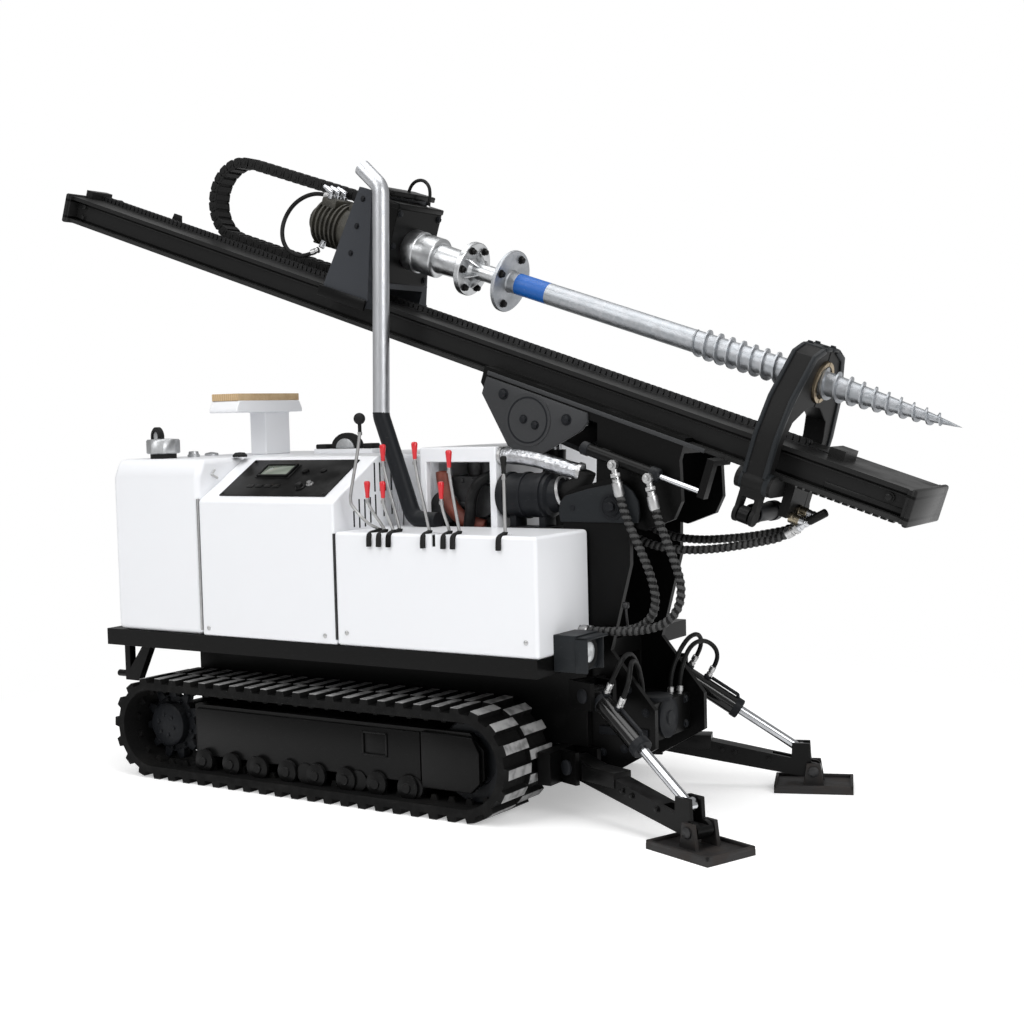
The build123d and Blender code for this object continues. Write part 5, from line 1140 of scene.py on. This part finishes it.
for side in (-1, 1):
    low, high = span(side, 115, 121)
    work.box((-2058, low, 26), (2058, high, 33), 2)
    work.box((1760, low, -40), (2058, high, -16), 2)
    low, high = span(side, 128, 150)
    teeth = [Matrix.Translation((1660 + 28 * i, 0, 0)) for i in range(14)]
    work.box((-6, low, -66), (14, high, -58), 0, teeth)
    for s in (-MAST_END, MAST_END):
        work.bolts([(s, side * 100, h) for h in (-30, 30)], (s, 0, 0), 14)
    work.bolts([(1990, side * 121, 7), (-2010, side * 115, 25), (-2010, side * 115, -25)], (0, side, 0), 13)
for s in (-MAST_END - END_PLATE, MAST_END):
    work.box((s, -170, -66), (s + END_PLATE, 170, 66), 8)
work.plate([(-1724, 59), (-1656, 59), (-1666, 92), (-1714, 92)], 144, 150, "y", 2)
work.done("mast_fittings", MAST_BLACK, "mast")

# %% [markdown]
# The cable chain is a string of hollow plastic links that carries the head's hoses. The lower run lies on
# the mast, the bend travels half as far as the head, and the upper run hangs between them. The two runs
# are made in place and attached to no body.

# %% Cable chain
BEND_S = -1247.0
CHAIN_LOW = 50.0
CHAIN_WIDE = 90.0
LINK = 44.0


def chain_link(work, copies):
    side = [(-20, -20), (12, -20), (22, -12), (22, 12), (12, 20), (-20, 20), (-24, 12), (-24, -12)]
    for y in (CHAIN_LOW, CHAIN_LOW + CHAIN_WIDE - 8):
        work.plate(side, y, y + 8, "y", 0, copies)
    for h in (-22, 17):
        work.box((-13, CHAIN_LOW + 2, h), (9, CHAIN_LOW + CHAIN_WIDE - 2, h + 5), 0, copies)
    work.box((-24, CHAIN_LOW + 8, -15), (24, CHAIN_LOW + CHAIN_WIDE - 8, 15), 0, copies)
    for y, out in ((CHAIN_LOW, -1), (CHAIN_LOW + CHAIN_WIDE, 1)):
        work.rod((0, y - out, 0), (0, y + out * 3, 0), 9, 12, 0, copies=copies)


runs = (("cable_run_low", "chain_lower", 87.0, BEND_S, -560.0, ("mast", "chain_bend")),
        ("cable_run_high", "chain_upper", 418.0, BEND_S, -600.0, ("chain_bend", "chain_end")))
for name, node, h, start, end, bodies in runs:
    work = Work(MAST)
    count = round((end - start) / LINK)
    step = (end - start) / count
    chain_link(work, [Matrix.Translation((start + step * (i + 0.5), 0, h)) for i in range(count)])
    piece = work.done(name, PLASTIC, None, (node,))
    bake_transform(piece)
work = Work(MAST)
middle = 252.5
radius = 165.5
count = round(pi * radius / LINK)
spots = []
for i in range(count):
    angle = pi / 2 + pi * (i + 0.5) / count
    spots.append(Matrix.Translation((BEND_S + radius * cos(angle), 0, middle + radius * sin(angle)))
                 @ Matrix.Rotation(-(angle + pi / 2), 4, "Y"))
chain_link(work, spots)
work.done("cable_bend", PLASTIC, "chain_bend", ("chain_bend",))

# %% [markdown]
# The rotary head: two triangular side plates on a carriage, a gearbox in front, and a cast hydraulic motor
# behind with cooling ribs, studs and chromed elbow fittings.

# %% Rotary head
MOTOR_BACK = -749.0
ribs = [(0, 0), (0, 58), (14, 66), (30, 84)]
for i in range(6):
    s = 40 + i * 24
    ribs += [(s, 86), (s + 2, 98), (s + 10, 98), (s + 12, 86)]
ribs += [(190, 86), (200, 97), (330, 97), (336, 80), (349, 78), (349, 0)]
work.turned((MOTOR_BACK, 0, SCREW_H), (1, 0, 0), ribs, 56)
work.box((-700, -70, 350), (-620, 70, 392), 10)
work.box((-560, -60, 360), (-430, 60, 396), 8)
work.box((-735, -24, 190), (-640, 24, 200), 6)
work.done("motor_casting", MOTOR, "head", ("head_motor",))
work.bolts(ring((MOTOR_BACK, 0, SCREW_H), (-1, 0, 0), 44, 6), (-1, 0, 0), 9)
work.bolts([(-240, y, h) for y in (-130, 130) for h in (165, 290, 420)], (1, 0, 0), 11)
work.bolts([(-400, y, h) for y in (-140, 140) for h in (170, 290, 420)], (-1, 0, 0), 11)
for side in (-1, 1):
    work.bolts([(-470 + 52 * i, side * 200, 46) for i in range(5)], (0, side, 0), 9)
    work.bolts([(-384, side * 200, 440), (-384, side * 200, 330), (-384, side * 200, 220)], (0, side, 0), 9)
work.done("head_bolts", SATIN, "head")
for side in (-1, 1):
    low, high = span(side, 200, 212)
    work.box((-500, low, 18), (-252, high, 62), 4)
work.box((-415, -120, 478), (-300, 160, 500), 4)
work.box((-352, -150, 440), (-236, 150, 462), 5)
work.done("head_plates", BLACK, "head")
for y in (-60, -16, 28):
    work.turned((-660, y, 390), (0, 0, 1), [(0, 14), (14, 14), (16, 11), (36, 11), (38, 0)], 24)
    work.turned((-664, y, 418), (-1, 0, 0.3), [(-10, 12), (26, 12), (28, 9), (44, 9)], 24)
work.turned((-640, -72, 196), (0, 0.4, 1), [(-10, 13), (20, 13), (22, 0)], 6)
work.done("motor_elbows", CHROME, "head")

# %% [markdown]
# The drive adaptor and the ground screw turn together. The adaptor is a stepped steel body with a bolted
# flange. The screw has a zinc-coated tube whose thread is a real helix: a thin fin, spun and carried
# forward at every step, then drawn in toward the tip so that it follows the taper.

# %% Adaptor and screw
ADAPTOR = [(-1, 82), (3, 84), (52, 84), (54, 80), (56, 78), (84, 78), (86, 80), (144, 80), (150, 74),
           (152, 60), (256, 56), (290, 56), (293, 59), (293, 104), (296, 107), (314, 107), (317, 104),
           (317, 46), (329, 34), (484, 34), (487, 0)]
work.turned((-240, 0, SCREW_H), (1, 0, 0), ADAPTOR, 64)
for k in range(6):
    turn = Matrix.Translation((0, 0, SCREW_H)) @ Matrix.Rotation(2 * pi * k / 6, 4, "X")
    work.plate([(76, 28), (76, 74), (88, 72), (128, 28)], -4, 4, "y", 1, [turn])
    work.plate([(246, 28), (246, 84), (236, 82), (190, 28)], -4, 4, "y", 1, [turn])
work.done("adaptor_body", MACHINED, "spindle", ("drive_adaptor",))

SCREW_TIP = 2117.0
TAPER_START = 1628.0
FIN_START = 1090.0
FIN_PITCH = 47.0
TUBE = 42.0
TIP_CORE = 8.0
FIN = 56.0
STEPS = 24


def core_radius(s):
    if s < TAPER_START:
        return TUBE
    return TIP_CORE + (TUBE - TIP_CORE) * max(0.0, SCREW_TIP - s) / (SCREW_TIP - TAPER_START)


tube_line = [(246, 0), (246, 119), (248, 122), (258, 122), (261, 119), (261, 46), (266, TUBE), (1000, TUBE),
             (TAPER_START, TUBE), (1800, core_radius(1800)), (2000, core_radius(2000)),
             (SCREW_TIP - 24, 4), (SCREW_TIP, 0)]
work.turned((0, 0, SCREW_H), (1, 0, 0), tube_line, 56)
shape = bmesh.new()
corners = [(FIN_START - 6, TUBE - 4), (FIN_START - 3, FIN), (FIN_START + 3, FIN), (FIN_START + 6, TUBE - 4)]
verts = [shape.verts.new((s, 0, r)) for s, r in corners]
face = shape.faces.new(verts)
turns = (SCREW_TIP - 70 - FIN_START) / FIN_PITCH
bmesh.ops.spin(shape, geom=[face, *face.edges, *verts], cent=(0, 0, 0), axis=(1, 0, 0), angle=2 * pi * turns,
               steps=int(STEPS * turns), dvec=(FIN_PITCH * turns / int(STEPS * turns), 0, 0),
               use_duplicate=False)
bmesh.ops.remove_doubles(shape, verts=shape.verts, dist=0.01)
for vert in shape.verts:
    radius = (vert.co.y ** 2 + vert.co.z ** 2) ** 0.5
    core = core_radius(vert.co.x)
    grow = min(1.0, 0.35 + (vert.co.x - FIN_START) / 60.0)
    wanted = core - 4 + (radius - TUBE + 4) * grow * (0.72 + 0.28 * core / TUBE)
    wanted = max(wanted, 1.0)
    vert.co.y *= wanted / radius
    vert.co.z *= wanted / radius
    vert.co.z += SCREW_H
work.add(shape)
work.done("screw_body", ZINC, "spindle", ("ground_screw",))
work.bolts(ring((77, 0, SCREW_H), (1, 0, 0), 84, 6, 0.3), (1, 0, 0), 11, 17)
work.bolts(ring((53, 0, SCREW_H), (-1, 0, 0), 84, 6, 0.3), (-1, 0, 0), 11)
work.bolts(ring((261, 0, SCREW_H), (1, 0, 0), 92, 8, 0.5)[::2], (1, 0, 0), 12, 16)
work.bolts(ring((246, 0, SCREW_H), (-1, 0, 0), 92, 8, 0.5)[::2], (-1, 0, 0), 12)
work.done("flange_bolts", CAST_BLACK, "spindle")

# %% [markdown]
# The guide at the foot is a pair of cast arms that close round the screw. Raised rims along their outer
# side make them look like channels, and a bolted cap closes the top. The clamp cylinder below pulls the
# arms together.

# %% Guide jaws
ARM = [(-250, -60), (-252, 80), (-222, 215), (-130, 375), (-62, 402)]
for side, name in ((-1, "near"), (1, "far")):
    work = Work(MAST)
    for s0, s1 in ((1514, 1528), (1592, 1606)):
        outer = [(-side * (y - 7), h + 4) for y, h in ARM]
        inner = [(-side * (y + 20), h - 12) for y, h in ARM]
        work.plate(outer + inner[::-1], s0, s1, "x", 3)
    low, high = span(side, 6, 60)
    work.box((1512, low, 396), (1608, high, 408), 4)
    work.bolts([(s, side * 34, 408) for s in (1530, 1590)], (0, 0, 1), 10)
    work.turned((1506, side * 215, -80), (1, 0, 0), [(0, 36), (6, 40), (108, 40), (114, 36)], 40)
    # The rims are in the lighter grey that is painted light.
    work.done("jaw_rims_" + name, LIT_BLACK, "jaw_" + name)
work = Work(MAST)
CLAMP_GLAND = [(0, 32), (0, 35), (20, 35), (24, 32.2), (150, 32.2), (154, 36), (190, 36), (193, 30),
               (193, 15), (0, 15), (0, 32)]
work.turned((1560, -163, -201), (0, 1, 0), CLAMP_GLAND, 40)
work.done("clamp_gland", SATIN, "clamp_barrel")
CLAMP_PORTS = ((-72, -185), (-20, -160))
for y, h in CLAMP_PORTS:
    work.turned((1662, y, h), (1, 0, 0), [(-2, 19), (8, 19), (10, 17), (34, 17), (36, 15)], 28)
work.done("hose_unions", BRASS, "mast")
RUN_IN = Vector((0.872, 0, 0.49))
run_in = Vector((RUN_IN.dot(MAST_DIR), 0, RUN_IN.dot(MAST_UP))).normalized()
for y, h in CLAMP_PORTS:
    elbow = Vector((1722, y, h))
    shape = bmesh.new()
    bmesh.ops.create_uvsphere(shape, u_segments=24, v_segments=14, radius=15,
                              matrix=Matrix.Translation(elbow))
    work.add(shape)
    work.turned((1696, y, h), (1, 0, 0), [(0, 15), (12, 15), (14, 13.6), (26, 13.6)], 24)
    work.turned(elbow, -run_in, [(0, 13.6), (20, 13.6), (22, 16), (46, 16)], 24)
work.done("hose_elbows", CHROME, "mast")
Work(MAST).rod((1728, -72, -178), (1782, -72, -123), 15, 28, 6).done("hose_boot", HOSE, "mast")

# %% [markdown]
# The legs stand on pads with a raised rim. Their cylinders have a dark gland nut at the mouth and a port
# boss, and the pins end in dark caps.

# %% Stabiliser legs
TOP = Vector((100, 0, 465))
EYE = Vector((585, 0, 150))
LINE = (EYE - TOP).normalized()
PORTS = (45, 125)
LEG_GLAND = [(0, 36.5), (0, 40), (26, 40), (30, 36), (30, 19), (0, 19), (0, 36.5)]
HINGE_Z = 190.0
LEG_SLOPE = 0.182
for side, place in LEGS.items():
    work = Work(place)
    work.turned(TOP + LINE * 270, LINE, LEG_GLAND, 40)
    work.turned(TOP + LINE * 36, LINE, [(0, 36.2), (0, 39), (16, 39), (18, 36.2), (0, 36.2)], 40)
    rise = Vector((-LINE.z, 0, LINE.x))
    for along in PORTS:
        spot = TOP + LINE * along + rise * 34
        work.rod(spot, spot + rise * 12, 16, 6, 1)
    low = TOP + LINE * 140 + rise * 46
    work.rod(low, TOP + LINE * 262 + rise * 46, 7, 16, 2)
    work.rod(TOP + LINE * 258 + rise * 48, TOP + LINE * 272 + rise * 30, 7, 16, 2)
    work.done("leg_gland_" + side, SATIN, "leg_barrel_" + side)
    for along in PORTS:
        spot = TOP + LINE * along + rise * 46
        work.rod(spot, spot + rise * 12.5, 12.6, 20, 1)
    work.done("leg_ports_" + side, BRIGHT, "leg_barrel_" + side)
    for n in (-1, 1):
        work.turned((0, n * 60, HINGE_Z), (0, n, 0), [(0, 28), (8, 28), (12, 22)], 32)
        work.turned((TOP.x, n * 60, TOP.z), (0, n, 0), [(0, 26), (6, 26), (10, 20)], 32)
    work.done("leg_pin_caps_" + side, SATIN, "chassis")
    work.box((60, -41, 150), (240, 41, 206), 3)
    for n in (-1, 1):
        work.bolts([(s, n * 36, HINGE_Z - LEG_SLOPE * s + 12) for s in (280, 330, 460)], (0, n, 0), 10)
    work.done("leg_sleeve_" + side, BLACK, "leg_" + side)
    for low, high in (((482, -110, 18), (494, 110, 32)), ((770, -110, 18), (782, 110, 32)),
                      ((482, -110, 18), (782, -98, 32)), ((482, 98, 18), (782, 110, 32))):
        work.box(low, high, 3)
    work.done("pad_rim_" + side, RUSTY, "pad_" + side)
    for n in (-1, 1):
        work.turned((632, n * 58, 75), (0, n, 0), [(0, 20), (6, 20), (9, 14)], 28)
    work.done("pad_pin_caps_" + side, DARK_STEEL, "pad_" + side)

# %% [markdown]
# The studio: a pale floor that takes a soft shadow, a white world, and large soft lamps from the left,
# above and the front. The camera sees plain white, while the lamps stay at a level where a colour looks as
# it is written.

# %% Floor, world and lamps
FLOOR_LIFT = 0.36
floor_mesh = bpy.data.meshes.new("floor")
shape = bmesh.new()
bmesh.ops.create_grid(shape, x_segments=1, y_segments=1, size=40)
shape.to_mesh(floor_mesh)
shape.free()
floor = bpy.data.objects.new("floor", floor_mesh)
show(floor)
floor_finish = Finish("pale_floor", grey(0.88), 0.9)
camera_ray = floor_finish.node("ShaderNodeLightPath", {}, {}, "Is Camera Ray")
glossy_ray = floor_finish.node("ShaderNodeLightPath", {}, {}, "Is Glossy Ray")
seen = floor_finish.node("ShaderNodeMath", {"operation": "MAXIMUM"}, {0: camera_ray, 1: glossy_ray})
distance = floor_finish.node("ShaderNodeVectorMath", {"operation": "LENGTH"}, {0: floor_finish.place},
                             "Value")
away = floor_finish.band(distance, 2.0, 3.4)
floor_finish.set("Emission Color", grey(1.0))
floor_finish.set("Emission Strength", seen * FLOOR_LIFT)
plain_white = floor_finish.node("ShaderNodeEmission", {}, {"Color": grey(1.0), "Strength": 1.0})
ground = Val(floor_finish, floor_finish.shader.outputs[0])
surface = floor_finish.node("ShaderNodeMixShader", {}, {0: away * seen, 1: ground, 2: plain_white})
output = floor_finish.tree.nodes["Material Output"]
floor_finish.feed(output.inputs["Surface"], surface)
floor_mesh.materials.append(floor_finish.material)

world = bpy.data.worlds.new("studio")
bpy.context.scene.world = world
world.use_nodes = True
tree = world.node_tree
glow = tree.nodes["Background"]
glow.inputs["Color"].default_value = grey(1.0)
path_node = tree.nodes.new("ShaderNodeLightPath")
DIFFUSE_ROOM = 0.50
GLOSSY_ROOM = 0.42
shine = tree.nodes.new("ShaderNodeMapRange")
tree.links.new(path_node.outputs["Is Glossy Ray"], shine.inputs["Value"])
shine.inputs["To Min"].default_value = DIFFUSE_ROOM
shine.inputs["To Max"].default_value = GLOSSY_ROOM
clear = tree.nodes.new("ShaderNodeMath")
clear.operation = "MAXIMUM"
tree.links.new(path_node.outputs["Is Camera Ray"], clear.inputs[0])
tree.links.new(path_node.outputs["Is Transmission Ray"], clear.inputs[1])
level_node = tree.nodes.new("ShaderNodeMath")
level_node.operation = "MAXIMUM"
tree.links.new(clear.outputs[0], level_node.inputs[0])
tree.links.new(shine.outputs[0], level_node.inputs[1])
tree.links.new(level_node.outputs[0], glow.inputs["Strength"])


def lamp(name, place, target, power, size):
    data = bpy.data.lights.new(name, "AREA")
    data.energy = power
    data.shape = "SQUARE"
    data.size = size
    light = bpy.data.objects.new(name, data)
    show(light)
    aim = Vector(target) - Vector(place)
    light.matrix_world = Matrix.Translation(place) @ aim.to_track_quat("-Z", "Y").to_matrix().to_4x4()


lamp("key", (-1.5, -6.0, 5.5), (0, 0, 0.9), 188, 4.0)
lamp("top", (0.5, -0.5, 7.0), (0, 0, 0), 230, 5.0)
lamp("front", (6.0, -2.5, 3.5), (0.3, 0, 1.0), 165, 3.0)
bpy.context.scene.view_settings.view_transform = "Standard"
print("studio lit")

# %% Solids left in their packed colour
unpainted = [name for name, node in frame["nodes"].items()
             if not node.hide_render and node.data.materials[0].name.startswith("of_")]
print("solids still in their packed colour:", unpainted)
